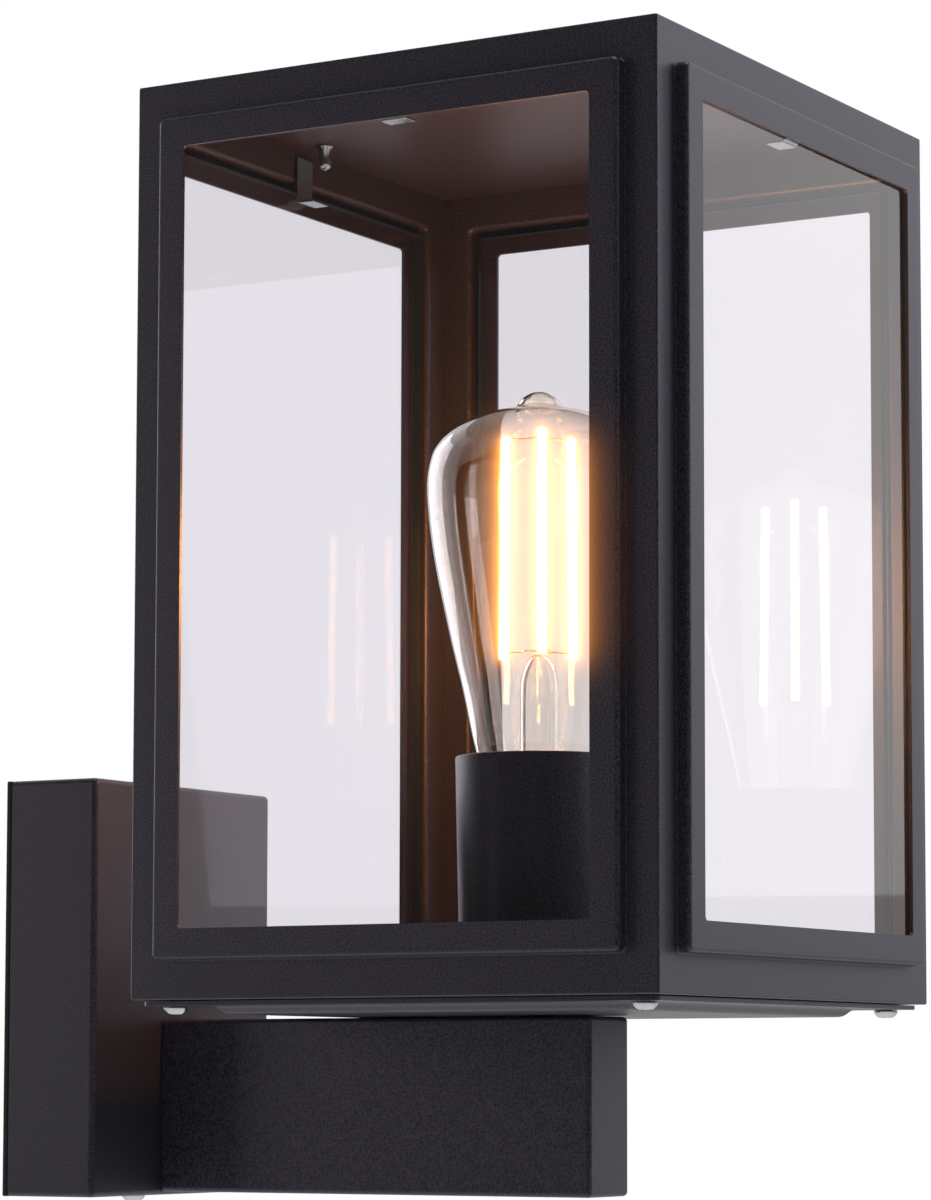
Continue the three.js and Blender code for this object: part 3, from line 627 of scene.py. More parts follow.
low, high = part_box("wall_box")
wall_box = make_piece("wall_box_cover", folded_box(low, high, 1.6 * mm), powder_coat, "wall_box")
thicken(wall_box, 1.5 * mm)
arm_low, arm_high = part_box("arm")
arm_level = (arm_low.z + arm_high.z) / 2
arm_screw_reach = 16 * mm
arm_screw_levels = [arm_level + arm_screw_reach, arm_level - arm_screw_reach]
clear_hole = 2.4 * mm
lead_hole = 5 * mm
through = 8 * mm
punch(wall_box, [
    ((0, low.y, arm_level), (0, 1, 0), lead_hole, through, 0),
    *[((0, low.y, level), (0, 1, 0), clear_hole, through, 0) for level in arm_screw_levels],
    ((0, cover_screw_y, low.z), (0, 0, 1), clear_hole, through, 0),
    ((0, cover_screw_y, high.z), (0, 0, 1), clear_hole, through, 0),
])
soften(wall_box, 0.25 * mm)
pan_head_screw("cover_clamp_screw_top", "cover_screw_top", zinc_plate, (0, 0, -1))
pan_head_screw("cover_clamp_screw_bottom", "cover_screw_bottom", zinc_plate, (0, 0, 1))

# ---------------------------------------------------------------- arm
# A rectangular steel tube with its free end closed, powder coated like the box. A threaded plate
# welded in its open end takes two screws from inside the wall box.
arm = make_piece("arm_tube", folded_box(arm_low, arm_high, 1.4 * mm), powder_coat, "arm")
thicken(arm, 1.5 * mm)
pan_screw_low, pan_screw_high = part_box("pan_screw")
pan_screw_y = (pan_screw_low.y + pan_screw_high.y) / 2
glass_low, glass_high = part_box("lamp_glass")
lamp_y = (glass_low.y + glass_high.y) / 2
nipple_hole = 5.3 * mm
punch(arm, [
    ((0, lamp_y, arm_high.z), (0, 0, 1), nipple_hole, through, 0),
    ((0, pan_screw_y, arm_high.z), (0, 0, 1), clear_hole, through, 0),
])
soften(arm, 0.25 * mm)

low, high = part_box("arm_end_plate")
plate_outline = rounded_rectangle((high.x - low.x) / 2, (high.z - low.z) / 2, 1.5 * mm)
end_plate = prism(plate_outline, 0, high.y - low.y)
end_plate.transform(Matrix.Translation((0, high.y, (low.z + high.z) / 2))
                    @ Matrix.Rotation(math.radians(90), 4, "X"))
end_plate = make_piece("arm_threaded_plate", end_plate, zinc_plate, "arm_end_plate")
punch(end_plate, [
    ((0, low.y, arm_level), (0, 1, 0), lead_hole, 20 * mm, 0),
    *[((0, low.y, level), (0, 1, 0), clear_hole, 20 * mm, 0) for level in arm_screw_levels],
])
soften(end_plate, 0.3 * mm)
for end in ("top", "bottom"):
    pan_head_screw(f"arm_clamp_screw_{end}", f"arm_screw_{end}", zinc_plate, (0, -1, 0))

# ---------------------------------------------------------------- base pan
# Pressed from sheet steel: a flat flange under the housing's hem and a shallow dished middle that
# rests on the arm. The same powder coat. One screw and the lamp holder's nipple clamp it.
low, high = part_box("base_pan")
pan_sheet = 1.2 * mm
middle = (low + high) / 2
half = (high - low) / 2
dish_half = half.x - 13.5 * mm
drop = high.z - low.z - pan_sheet
base_pan = bmesh.new()
rings = []
profile = eased([(half.x, low.z + drop), (dish_half, low.z + drop), (dish_half - drop, low.z),
                 (dish_half - 20 * mm, low.z)], 1.2 * mm)
# the corners grow a little sharper towards the middle of the dish
outer_corner = 3 * mm
sharpest_corner = 1.5 * mm
for reach, z in profile:
    corner = max(outer_corner - (half.x - reach) * 0.05, sharpest_corner)
    outline = rounded_rectangle(reach, reach, corner)
    rings.append([base_pan.verts.new((middle.x + x, middle.y + y, z)) for x, y in outline])
skin(base_pan, rings)
base_pan.faces.new(rings[-1])
base_pan = make_piece("base_pan_pressing", base_pan, powder_coat, "base_pan")
# the skin faces down, so that its sheet grows upwards and stays in the box
dish_floor = max(base_pan.data.polygons, key=lambda face: face.area)
if dish_floor.normal.z > 0:
    base_pan.data.flip_normals()
thicken(base_pan, pan_sheet)
corner_nodes = ["left_front", "left_back", "right_front", "right_back"]
corner_screw_spots = []
for corner in corner_nodes:
    screw_low, screw_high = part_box(f"corner_screw_{corner}")
    corner_screw_spots.append((screw_low + screw_high) / 2)
punch(base_pan, [
    ((0, lamp_y, low.z), (0, 0, 1), nipple_hole, 10 * mm, 0),
    ((0, pan_screw_y, low.z), (0, 0, 1), clear_hole, 10 * mm, 0),
    *[((spot.x, spot.y, high.z), (0, 0, 1), clear_hole, 10 * mm, 0) for spot in corner_screw_spots],
])
soften(base_pan, 0.25 * mm)
pan_head_screw("pan_clamp_screw", "pan_screw", zinc_plate, (0, 0, -1))

# ---------------------------------------------------------------- lamp holder
# A hollow threaded nipple with two nuts clamps the pan to the arm and carries the holder: a black
# moulded socket body with a rolled brass shell, inside a tapered powder-coated sleeve.
low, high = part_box("holder_nipple")
nipple_radius = (high.x - low.x) / 2
nipple = threaded_bar(nipple_radius, 0.5 * mm, 1.0 * mm, low.z, high.z)
nipple.transform(Matrix.Translation((0, lamp_y, 0)))
nipple = make_piece("holder_threaded_nipple", nipple, zinc_plate, "holder_nipple")
punch(nipple, [((0, lamp_y, (low.z + high.z) / 2), (0, 0, 1), 3.6 * mm, 60 * mm, 0)])
for which in ("lower", "upper"):
    low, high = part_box(f"holder_{which}_nut")
    reach = (high.x - low.x) / 2
    turns = [math.radians(60 * i) for i in range(6)]
    hexagon = [(reach * math.cos(turn), reach * math.sin(turn)) for turn in turns]
    nut = prism(hexagon, low.z, high.z)
    nut.transform(Matrix.Translation((0, lamp_y, 0)))
    nut = make_piece(f"holder_hexagon_nut_{which}", nut, zinc_plate, f"holder_{which}_nut")
    punch(nut, [((0, lamp_y, low.z), (0, 0, 1), nipple_hole, 20 * mm, 0)])
    soften(nut, 0.35 * mm)

low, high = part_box("holder_sleeve")
rim_radius = (high.x - low.x) / 2
foot_radius = rim_radius - 1.6 * mm
wall = 1.2 * mm
sleeve_line = eased([
    (nipple_hole, low.z), (foot_radius, low.z), (rim_radius, high.z), (rim_radius - wall, high.z),
    (foot_radius - wall, low.z + wall), (nipple_hole, low.z + wall),
], 0.55 * mm)
make_piece("holder_tapered_sleeve", spin(sleeve_line + sleeve_line[:1], 96, (0, lamp_y)),
           powder_coat, "holder_sleeve")

black_moulding = moulded("black moulded phenolic", "#161617", 0.38, 1.5 * mm, 0.02 * mm)
low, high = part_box("socket_body")
shell_low, shell_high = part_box("socket_shell")
shell_radius = (shell_high.x - shell_low.x) / 2
body_radius = (high.x - low.x) / 2
shell_gap = 0.3 * mm
foot_hole = 10 * mm
underside = shell_low.z - 5.3 * mm
socket_line = eased([
    (0, underside), (foot_hole, underside), (foot_hole, low.z), (body_radius, low.z),
    (body_radius, high.z), (shell_radius + shell_gap, high.z),
    (shell_radius + shell_gap, shell_low.z - shell_gap), (0, shell_low.z - shell_gap),
], 0.8 * mm)
make_piece("holder_socket_moulding", spin(socket_line, 80, (0, lamp_y)), black_moulding, "socket_body")

cap_pitch = 25.4 * mm / 7
lamp_thread_depth = 0.5 * mm


def threaded_sleeve(outer, wall, depth, start, end):
    """A thin rolled sleeve whose wall follows a round right-handed lamp thread."""
    bm = bmesh.new()
    sheets = [
        [[bm.verts.new((r * math.cos(a), r * math.sin(a) + lamp_y, z)) for a, r, z in row]
         for row in helix(radius, depth, cap_pitch, start, end, 64)]
        for radius in (outer, outer - wall)
    ]
    for sheet in sheets:
        skin(bm, sheet)
    skin(bm, [sheets[0][0], sheets[1][0]])
    skin(bm, [sheets[0][-1], sheets[1][-1]])
    return bm


make_piece("socket_rolled_shell", threaded_sleeve(
    shell_radius, 0.4 * mm, 0.2 * mm, shell_low.z, shell_high.z), brass, "socket_shell")
low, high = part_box("socket_contact")
tongue_sheet = 0.6 * mm
tongue_line = eased([
    (low.x, low.z + tongue_sheet / 2), (-4 * mm, low.z + tongue_sheet / 2),
    (0, high.z - tongue_sheet / 2), (high.x, high.z - tongue_sheet / 2),
], 1.5 * mm)
tongue = bent_strip(tongue_line, tongue_sheet, high.y - low.y)
tongue.transform(Matrix.Translation((0, lamp_y, 0)) @ Matrix.Rotation(math.radians(-90), 4, "Z"))
make_piece("socket_spring_tongue", tongue, brass, "socket_contact")

# ---------------------------------------------------------------- leads
# Stranded copper in heat-proof sleeving: brown live and blue neutral from the terminal block
# through the arm and the nipple to the socket, and a striped earth to the bracket's screw.


def route(points, radius, steps=8):
    """A round wire along a smooth line through its points."""
    curve = bpy.data.curves.new("route", "CURVE")
    curve.dimensions = "3D"
    curve.bevel_depth = radius
    curve.bevel_resolution = 3
    curve.use_fill_caps = True
    curve.resolution_u = steps
    line = curve.splines.new("BEZIER")
    line.bezier_points.add(len(points) - 1)
    for place, point in zip(line.bezier_points, points):
        place.co = point
        place.handle_left_type = place.handle_right_type = "AUTO"
    holder = bpy.data.objects.new("route", curve)
    mesh = bpy.data.meshes.new_from_object(holder)
    bpy.data.objects.remove(holder)
    bm = bmesh.new()
    bm.from_mesh(mesh)
    return bm


box_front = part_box("wall_box")[0].y
terminal_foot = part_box("terminal_block")[0].z
nipple_low, nipple_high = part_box("holder_nipple")
lead_radius = 1.1 * mm
for node, color, pole, side in [
    ("lead_live", "#6b3a20", 0, -1.7 * mm),
    ("lead_neutral", "#2d5ca6", 1, 1.7 * mm),
]:
    sleeving = moulded(f"{node[5:]} lead sleeving", color, 0.5, 0.8 * mm, 0.02 * mm)
    low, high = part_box(node)
    run = route([
        (poles[pole], terminal_middle.y, terminal_middle.z),
        (poles[pole], terminal_middle.y, terminal_foot - 3 * mm),
        ((poles[pole] + side) / 2, (terminal_middle.y + box_front) / 2, (terminal_foot + arm_level) / 2),
        (side, box_front + 5.5 * mm, arm_level + 2 * mm),
        (side, box_front, arm_level),
        (side, arm_high.y - 7 * mm, arm_level),
        (side, (arm_high.y + lamp_y) / 2, arm_level),
        (side, lamp_y + 18 * mm, arm_level + 2 * mm),
        (side, lamp_y + 3 * mm, arm_level + 9 * mm),
        (side, lamp_y, nipple_low.z - 3 * mm),
        (side, lamp_y, (nipple_low.z + nipple_high.z) / 2),
        (side, lamp_y, high.z),
    ], lead_radius)
    make_piece(f"{node}_wire", run, sleeving, node)

earth_sleeving = bare_material("green and yellow earth sleeving")
tree = earth_sleeving.node_tree
coords = add_node(tree, "ShaderNodeTexCoord")
across = add_node(tree, "ShaderNodeSeparateXYZ", {0: coords.outputs["Object"]})
# the two stripes run along the wire, each over half its girth
stripe = add_node(tree, "ShaderNodeMath", {
    0: across.outputs["X"], 1: poles[2],
}, operation="GREATER_THAN")
color = add_node(tree, "ShaderNodeMix", {
    "Factor": stripe.outputs[0], 6: linear("#d8c42e"), 7: linear("#3f8a3a"),
}, data_type="RGBA")
surface = add_node(tree, "ShaderNodeBsdfPrincipled", {"Base Color": color.outputs[2], "Roughness": 0.5})
add_node(tree, "ShaderNodeOutputMaterial", {"Surface": surface.outputs[0]})
earth_end = earth_middle.z + 6.5 * mm
make_piece("lead_earth_wire", route([
    (poles[2], terminal_middle.y, terminal_middle.z),
    (poles[2], terminal_middle.y, terminal_foot - 2 * mm),
    (poles[2], terminal_middle.y + 2 * mm, earth_end),
    (poles[2], -3.4 * mm, earth_end - 2.7 * mm),
], lead_radius), earth_sleeving, "lead_earth")

# ---------------------------------------------------------------- lamp cap
# The rolled E27 cap is nickel-plated brass, bright and slightly warm, over a black moulded
# insulator with a tin-soldered end contact.
nickel_plate = metal_finish("nickel-plated brass", "#d6d0c4", "#b4ada0", 0.22, 5 * mm)
tin_solder = metal_finish("dull tin solder", "#b9bbbb", "#9b9d9d", 0.45, 1.5 * mm)
low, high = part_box("lamp_cap")
cap_radius = (high.x - low.x) / 2
shoulder = low.z + 3.5 * mm
rim = high.z - 2.5 * mm
cap_sheet = 0.4 * mm
cap_inside = cap_radius - cap_sheet
cap_foot = 8 * mm
cap = threaded_sleeve(cap_radius, cap_sheet, lamp_thread_depth, shoulder, rim)
for outline in (
    [(cap_radius, rim), (cap_radius, high.z), (cap_inside, high.z), (cap_inside, rim)],
    [(cap_foot, low.z), (cap_radius - 1.2 * mm, low.z + 2.5 * mm), (cap_radius, shoulder),
     (cap_inside, shoulder), (cap_radius - 1.6 * mm, low.z + 2.9 * mm), (cap_foot, low.z + 0.5 * mm),
     (cap_foot, low.z)],
):
    merge(cap, spin(outline, 64, (0, lamp_y)))
make_piece("lamp_rolled_cap", cap, nickel_plate, "lamp_cap")
low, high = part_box("lamp_insulator")
reach = (high.x - low.x) / 2
make_piece("lamp_glass_insulator", spin(eased([
    (0, low.z), (5.8 * mm, low.z), (reach, high.z - 1.2 * mm), (reach, high.z), (0, high.z),
], 0.3 * mm), 48, (0, lamp_y)), black_moulding, "lamp_insulator")
low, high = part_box("lamp_contact")
reach = (high.x - low.x) / 2
make_piece("lamp_solder_contact", spin(eased([
    (0, low.z), (reach * 0.75, low.z), (reach, low.z + 0.6 * mm), (reach, high.z), (0, high.z),
], 0.5 * mm), 48, (0, lamp_y)), tin_solder, "lamp_contact")

# ---------------------------------------------------------------- lamp glass and stem
# The envelope is blown clear soda glass, 0.5 mm thick, drawn to a sealed tip; a pressed glass
# stem holds the filaments. Clear glass shows by its edges and by what it mirrors.


def clear_glass(name, color, ior=1.5):
    """Solid clear glass that bends and mirrors light."""
    material = bare_material(name)
    tree = material.node_tree
    coords = add_node(tree, "ShaderNodeTexCoord")
    # slow waves, 25 mm long, left by blowing
    waves = add_node(tree, "ShaderNodeTexNoise",
                     {"Vector": coords.outputs["Object"], "Scale": 1 / (25 * mm), "Detail": 1.0})
    relief = add_node(tree, "ShaderNodeBump", {
        "Height": waves.outputs["Fac"], "Strength": 0.15, "Distance": 0.3 * mm,
    })
    surface = add_node(tree, "ShaderNodeBsdfPrincipled", {
        "Base Color": linear(color), "Roughness": 0.0, "Transmission Weight": 1.0, "IOR": ior,
        "Normal": relief.outputs[0],
    })
    add_node(tree, "ShaderNodeOutputMaterial", {"Surface": surface.outputs[0]})
    return material


blown_glass = clear_glass("clear blown soda glass", "#fefaf4")
tip = glass_high.z
widest = (glass_high.x - glass_low.x) / 2
cap_low, cap_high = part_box("lamp_cap")
neck = cap_radius - 1.0 * mm
envelope_points = [
    (neck, cap_high.z - tip), (neck + 1.9 * mm, cap_high.z - tip + 5 * mm), (17.9 * mm, -103 * mm),
    (21.8 * mm, -85 * mm), (25.5 * mm, -69.5 * mm), (30.2 * mm, -46 * mm), (widest, -29 * mm),
    (31 * mm, -20 * mm), (28.6 * mm, -15 * mm), (24 * mm, -10.8 * mm), (18 * mm, -7.6 * mm),
    (11 * mm, -5.7 * mm), (7.0 * mm, -4.6 * mm), (5.2 * mm, -2.2 * mm), (2.6 * mm, -0.5 * mm), (0, 0),
]


def smooth_line(points, steps=6):
    """A smooth line through its points."""
    points = [Vector(point) for point in points]
    line = []
    for i in range(len(points) - 1):
        before, start, end, after = (points[max(0, min(len(points) - 1, i + k))] for k in (-1, 0, 1, 2))
        slope = end - before
        curve = 2 * before - 5 * start + 4 * end - after
        twist = 3 * start - before - 3 * end + after
        for step in range(steps):
            t = step / steps
            line.append(0.5 * (2 * start + slope * t + curve * t ** 2 + twist * t ** 3))
    return line + [points[-1]]


envelope = smooth_line(envelope_points)
glass_wall = 0.5 * mm
inside = []
for i, point in enumerate(envelope):
    along = (envelope[min(i + 1, len(envelope) - 1)] - envelope[max(i - 1, 0)]).normalized()
    inside.append(point + Vector((-along.y, along.x)) * glass_wall)
inside[-1] = Vector((0, -glass_wall))
neck_bottom = cap_low.z + 6.5 * mm - tip
outline = [Vector((neck, neck_bottom))] + envelope
inner = inside[::-1] + [Vector((neck - glass_wall, neck_bottom))]
line = [(max(r, 0), tip + z) for r, z in outline + inner + [outline[0]]]
envelope = make_piece("lamp_blown_envelope", spin(line, 96, (0, lamp_y)), blown_glass, "lamp_glass")
envelope.visible_shadow = False

low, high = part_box("lamp_stem")
# a lower index than glass's keeps the edges of this thin tube as faint as the real ones
pressed_glass = clear_glass("pressed lamp stem glass", "#fefdfb", 1.35)
stem_foot = 10.9 * mm
stem_radius = 5.4 * mm
stem_wall = 0.4 * mm
stem_line = smooth_line([
    (stem_foot, low.z), (9.4 * mm, low.z + 3 * mm), (6.4 * mm, low.z + 7 * mm),
    (stem_radius, low.z + 14 * mm), (stem_radius, high.z - 12 * mm), (4.6 * mm, high.z - 5 * mm),
    (2.6 * mm, high.z - 1 * mm), (0, high.z),
], 5)
stem_inside = [(max(r - stem_wall, 0), z - stem_wall) for r, z in stem_line[1:]]
stem_line = [tuple(point) for point in stem_line] + stem_inside[::-1] + [(stem_foot - stem_wall, low.z)]
stem = spin(stem_line + stem_line[:1], 48, (0, lamp_y))
stem = make_piece("lamp_pressed_stem", stem, pressed_glass, "lamp_stem")
stem.visible_shadow = False

# ---------------------------------------------------------------- filaments and wires
# Three LED filaments: sapphire strips under a yellow phosphor skin, lit warm white, with a metal
# tag at each end, held by nickel wires in a splayed cage.
phosphor = bare_material("lit phosphor filament")
tree = phosphor.node_tree
coords = add_node(tree, "ShaderNodeTexCoord")
spots = add_node(tree, "ShaderNodeTexNoise",
                 {"Vector": coords.outputs["Object"], "Scale": 1 / (1.2 * mm), "Detail": 1.0})
skin_tone = add_node(tree, "ShaderNodeMix", {
    "Factor": spots.outputs["Fac"], 6: linear("#ffd890"), 7: linear("#f3c267"),
}, data_type="RGBA")
surface = add_node(tree, "ShaderNodeBsdfPrincipled", {
    "Base Color": skin_tone.outputs[2], "Roughness": 0.5,
    "Emission Color": linear("#ffc27a"), "Emission Strength": 20.0,
})
add_node(tree, "ShaderNodeOutputMaterial", {"Surface": surface.outputs[0]})
nickel_wire = metal_finish("drawn nickel wire", "#d3cdc0", "#b5afa2", 0.3, 2 * mm)

# each leans in towards the axis, so its top is at the corner of its box that is nearer to it
ends = []
radius = 1.25 * mm
for number in (1, 2, 3):
    node = f"lamp_filament_{number}"
    low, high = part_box(node)
    across_x = sorted((low.x + radius, high.x - radius), key=abs)
    across_y = sorted((low.y + radius - lamp_y, high.y - radius - lamp_y), key=abs)
    top = Vector((across_x[0], lamp_y + across_y[0], high.z))
    bottom = Vector((across_x[1], lamp_y + across_y[1], low.z))
    length = (top - bottom).length
    stick = spin(eased([(0, 0), (radius, 0), (radius, length), (0, length)], 0.7 * mm), 20)
    lean = Vector((0, 0, 1)).rotation_difference(top - bottom).to_matrix().to_4x4()
    stick.transform(Matrix.Translation(bottom) @ lean)
    make_piece(f"lamp_led_filament_{number}", stick, phosphor, node)
    ends.append((bottom, top))

# a middle post on the stem, with a thin wire curving out to the foot and to the head of each
low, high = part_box("lamp_wires")
hub_low, hub_high = low.z + 0.6 * mm, high.z - 0.6 * mm
wires = route([(0, lamp_y, low.z), (0, lamp_y, (low.z + high.z) / 2), (0, lamp_y, high.z)], 0.35 * mm)
axis_low = Vector((0, lamp_y, hub_low))
axis_high = Vector((0, lamp_y, hub_high))
sag = Vector((0, 0, -0.4 * mm))
for bottom, top in ends:
    foot = Vector((bottom.x, bottom.y, hub_low)) - axis_low
    head = Vector((top.x, top.y, hub_high)) - axis_high
    turned = Vector((-foot.y, foot.x, 0))
    for path in (
        [axis_low + foot * 0.9, axis_low + foot * 0.45 + turned * 0.1,
         axis_low + foot * 0.2 + turned * 0.25, axis_low - turned * 0.15, axis_low],
        [axis_high + head * 0.9, axis_high + head * 0.5 + sag, axis_high],
    ):
        merge(wires, route(path, 0.3 * mm))
make_piece("lamp_wire_cage", wires, nickel_wire, "lamp_wires")

# ---------------------------------------------------------------- housing
# Four glazed faces and a roof pressed and folded from sheet steel, welded at the corners and
# powder coated. Each face has a raised rim round its window and a hem flange along the bottom.
roof_low, roof_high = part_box("housing_roof")
front_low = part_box("housing_front_panel")[0]
middle = (roof_low + roof_high) / 2
half = (roof_high.x - roof_low.x) / 2
bottom, top = front_low.z, roof_high.z
rim_rise = roof_low.y - front_low.y
housing_sheet = 1.0 * mm
corner_bend = 0.6 * mm
rim_inset = 9.6 * mm
rim_radius = 1.8 * mm
foot_bend = 0.5 * mm
crest_bend = 1.2 * mm
window_inset = 18 * mm
window_radius = 1.2 * mm
end_extra = 1.2 * mm  # how much wider the borders above and below the rim and the window are
flange_width = 14 * mm
bend_steps = 5
half_high = (top - bottom) / 2

bend_angles = [math.radians(90) * step / bend_steps for step in range(bend_steps + 1)]

# each ring of a face: how far in from its edge, how far proud of it, and its corner radius
face_rings = [(corner_bend, 0, 0)]
for angle in bend_angles:
    left = foot_bend * (1 - math.sin(angle))
    face_rings.append((rim_inset - left, foot_bend * (1 - math.cos(angle)), rim_radius + left))
for angle in bend_angles:
    turned_in = crest_bend * (1 - math.cos(angle))
    face_rings.append((rim_inset + turned_in, rim_rise - crest_bend * (1 - math.sin(angle)),
                       rim_radius - turned_in))
face_rings.append((window_inset, rim_rise, window_radius))

housing = bmesh.new()
centre = Matrix.Translation((middle.x, middle.y, 0))
for side in range(4):
    turn = centre @ Matrix.Rotation(math.radians(90 * side), 4, "Z")
    rings = []
    for number, (inset, proud, radius) in enumerate(face_rings):
        extra = end_extra if number else 0
        outline = rounded_rectangle(half - inset, half_high - inset - extra, radius)
        rings.append([housing.verts.new(turn @ Vector((u, -half - proud, (top + bottom) / 2 + v)))
                      for u, v in outline])
    skin(housing, rings)
# the folds between the faces, round the roof and along the hem
folds = []
for level, sign in ((bottom + corner_bend, -1), (top - corner_bend, 1)):
    rings = []
    for angle in bend_angles:
        radius = corner_bend * math.cos(angle)
        reach = half - corner_bend + radius
        z = level + sign * corner_bend * math.sin(angle)
        rings.append([housing.verts.new((middle.x + x, middle.y + y, z))
                      for x, y in rounded_rectangle(reach, reach, radius)])
    skin(housing, rings)
    folds.append(rings)
corner_points = len(folds[0][0]) // 4
for i in range(len(folds[0][0])):
    if i % corner_points:
        housing.faces.new((folds[0][0][i - 1], folds[0][0][i], folds[1][0][i], folds[1][0][i - 1]))
housing.faces.new(folds[1][-1][::corner_points])
hem = [housing.verts.new((middle.x + x, middle.y + y, bottom))
       for x, y in rounded_rectangle(half - flange_width, half - flange_width, 0)]
skin(housing, [folds[0][-1], hem])
shell = make_piece("housing_welded_shell", housing, powder_coat,
                   "housing_front_panel", "housing_back_panel",
                   "housing_left_panel", "housing_right_panel", "housing_roof")
thicken(shell, housing_sheet)
punch(shell, [((spot.x, spot.y, bottom), (0, 0, 1), clear_hole, through, 0)
              for spot in corner_screw_spots])
soften(shell, 0.2 * mm)

# ---------------------------------------------------------------- corner lugs and corner screws
# A threaded steel lug is spot welded on each corner of the hem; a screw comes up through the pan.
for corner, spot in zip(corner_nodes, corner_screw_spots):
    low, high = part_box(f"corner_lug_{corner}")
    lug_middle = (low + high) / 2
    lug = prism(rounded_rectangle((high.x - low.x) / 2, (high.y - low.y) / 2, 1.5 * mm), low.z, high.z)
    lug.transform(Matrix.Translation((lug_middle.x, lug_middle.y, 0)))
    lug = make_piece(f"corner_threaded_lug_{corner}", lug, powder_coat, f"corner_lug_{corner}")
    punch(lug, [((spot.x, spot.y, low.z), (0, 0, 1), clear_hole, 20 * mm, 0)])
    soften(lug, 0.4 * mm)
    pan_head_screw(f"corner_clamp_screw_{corner}", f"corner_screw_{corner}", zinc_plate, (0, 0, 1))

# ---------------------------------------------------------------- panes
# 3 mm float glass with ground edges. Seen through its face it is clear, with a thin mirror of the
# room and the lamp; its edge, where light has come a long way through the glass, is green.
float_glass = bare_material("clear float glass")
tree = float_glass.node_tree
facing = add_node(tree, "ShaderNodeLayerWeight", {"Blend": 0.5})
slant = add_node(tree, "ShaderNodeMath", {0: facing.outputs["Facing"], 1: 5.0}, operation="POWER")
# both faces together mirror 8% of what meets them head on and all of what skims them; the near
# face does it for both, because the far one's image lies almost on it after the glass bends it
both_faces = add_node(tree, "ShaderNodeMapRange", {
    "Value": slant.outputs[0], "To Min": 0.082, "To Max": 1.0,
})
hit = add_node(tree, "ShaderNodeNewGeometry")
mirrored = add_node(tree, "ShaderNodeMix", {
    "Factor": hit.outputs["Backfacing"], 2: both_faces.outputs[0], 3: 0.0,
})
coords = add_node(tree, "ShaderNodeTexCoord")
film = add_node(tree, "ShaderNodeTexNoise",
                {"Vector": coords.outputs["Object"], "Scale": 1 / (40 * mm), "Detail": 4.0})
polish = add_node(tree, "ShaderNodeMapRange", {
    "Value": film.outputs["Fac"], "To Min": 0.0, "To Max": 0.04,
})
clear = add_node(tree, "ShaderNodeBsdfTransparent", {"Color": linear("#faf9fb")})
mirror = add_node(tree, "ShaderNodeBsdfGlossy", {
    "Color": linear("#ffffff"), "Roughness": polish.outputs[0],
})
pane_face = add_node(tree, "ShaderNodeMixShader", {
    0: mirrored.outputs[0], 1: clear.outputs[0], 2: mirror.outputs[0],
})
add_node(tree, "ShaderNodeOutputMaterial", {"Surface": pane_face.outputs[0]})

ground_edge = bare_material("ground float glass edge")
tree = ground_edge.node_tree
coords = add_node(tree, "ShaderNodeTexCoord")
grit = add_node(tree, "ShaderNodeTexNoise",
                {"Vector": coords.outputs["Object"], "Scale": 1 / (0.6 * mm), "Detail": 2.0})
green = add_node(tree, "ShaderNodeMix", {
    "Factor": grit.outputs["Fac"], 6: linear("#262d2b"), 7: linear("#454f4b"),
}, data_type="RGBA")
edge = add_node(tree, "ShaderNodeBsdfPrincipled", {"Base Color": green.outputs[2], "Roughness": 0.35})
add_node(tree, "ShaderNodeOutputMaterial", {"Surface": edge.outputs[0]})

for side in ("front", "right", "back", "left"):
    low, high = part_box(f"pane_{side}")
    pane = bmesh.new()
    bmesh.ops.create_cube(pane, size=1)
    bmesh.ops.scale(pane, verts=pane.verts, vec=high - low)
    bmesh.ops.translate(pane, verts=pane.verts, vec=(low + high) / 2)
    bmesh.ops.bevel(pane, geom=pane.edges[:], offset=0.35 * mm, segments=2, affect="EDGES", profile=0.5)
    face_axis = 0 if side in ("left", "right") else 1
    pane = make_piece(f"float_glass_pane_{side}", pane, float_glass, f"pane_{side}")
    pane.data.materials.append(ground_edge)
    pane.data.shade_flat()
    for polygon in pane.data.polygons:
        polygon.material_index = 0 if abs(polygon.normal[face_axis]) > 0.9 else 1

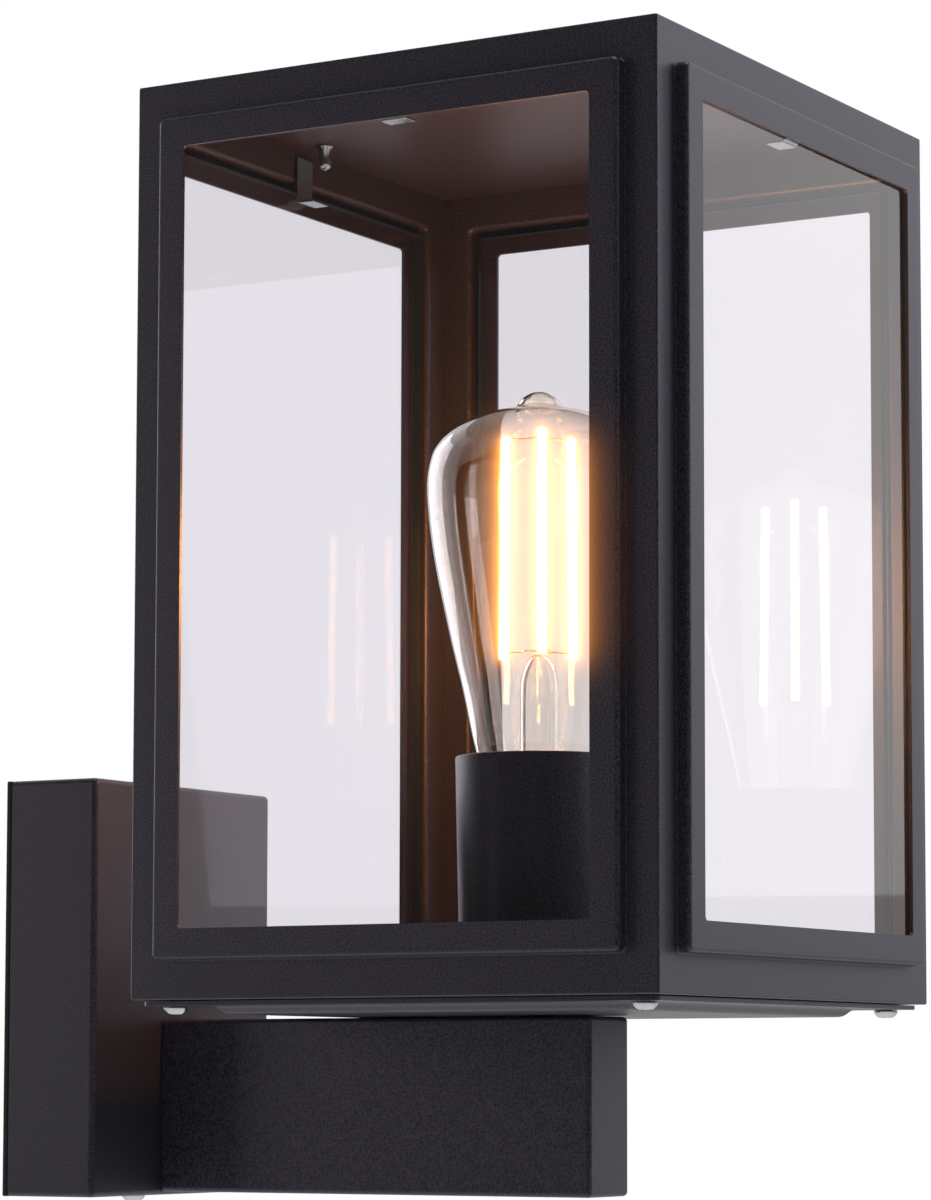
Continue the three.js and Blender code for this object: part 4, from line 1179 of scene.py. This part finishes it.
# ---------------------------------------------------------------- pane clips
# Narrow strips of sheet steel, riveted behind the rim and bent inwards, hold each pane at the
# middle of its top and bottom edges. They are zinc plated and fitted after coating.
clip_sheet = 0.8 * mm
clip_width = 8 * mm
pad_width = 6 * mm
pad_height = 2.2 * mm
for i, side in enumerate(("front", "right", "back", "left")):
    for end, up in (("top", 1), ("bottom", -1)):
        node = f"pane_clip_{side}_{end}"
        low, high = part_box(node)
        reaches = (low.x, high.x) if i % 2 else (low.y - middle.y, high.y - middle.y)
        pad_front, back_face = sorted(half - abs(reach) for reach in reaches)
        tip_level, leg_level = (low.z, high.z) if up > 0 else (high.z, low.z)
        leg_face = housing_sheet + 0.3 * mm + clip_sheet / 2
        strip_line = eased([
            (leg_face, leg_level), (leg_face, tip_level + up * clip_sheet / 2),
            (back_face, tip_level + up * clip_sheet / 2),
        ], 1.6 * mm)
        clip = bent_strip(strip_line, clip_sheet, clip_width)
        pad = bmesh.ops.create_cube(clip, size=1)["verts"]
        pad_middle = (0, (leg_face + pad_front) / 2, tip_level + up * pad_height)
        bmesh.ops.scale(clip, verts=pad, vec=(pad_width, leg_face - pad_front, pad_height))
        bmesh.ops.translate(clip, verts=pad, vec=pad_middle)
        turn = Matrix.Rotation(math.radians(90 * i), 4, "Z")
        clip.transform(centre @ turn @ Matrix.Translation((0, -half, 0)))
        soften(make_piece(f"pane_bent_clip_{side}_{end}", clip, zinc_plate, node), 0.2 * mm)

# ---------------------------------------------------------------- roof stud
# A turned, zinc-plated stud with a round end hangs from the roof near the back.
low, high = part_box("roof_stud")
stud_middle = (low + high) / 2
stud_radius = (high.x - low.x) / 2
stud_line = []
for step in range(7):
    angle = math.radians(15 * step)
    stud_line.append((stud_radius * math.sin(angle), low.z + stud_radius * (1 - math.cos(angle))))
stud_line += [(stud_radius, high.z - 1 * mm), (stud_radius + 0.6 * mm, high.z), (0, high.z)]
stud = spin(stud_line, 40, (stud_middle.x, stud_middle.y))
make_piece("roof_turned_stud", stud, zinc_plate, "roof_stud")

# ---------------------------------------------------------------- light of the filaments
# The lit lamp throws an amber light on the coated steel round it. The light falls on those pieces
# alone, because the glass already mirrors the filaments themselves.
filament_light = bpy.data.objects.new("filament light", bpy.data.lights.new("filament light", "POINT"))
bpy.context.collection.objects.link(filament_light)
filament_light.location = (0, lamp_y, (ends[0][0].z + ends[0][1].z) / 2)
filament_light.data.energy = 1.2
filament_light.data.color = linear("#ffa24a")[:3]
filament_light.data.shadow_soft_size = 8 * mm
filament_light.visible_camera = False
coated = bpy.data.collections.new("coated steel")
for piece in bpy.context.collection.objects:
    if piece.type == "MESH" and powder_coat.name in piece.data.materials:
        coated.objects.link(piece)
filament_light.light_linking.receiver_collection = coated
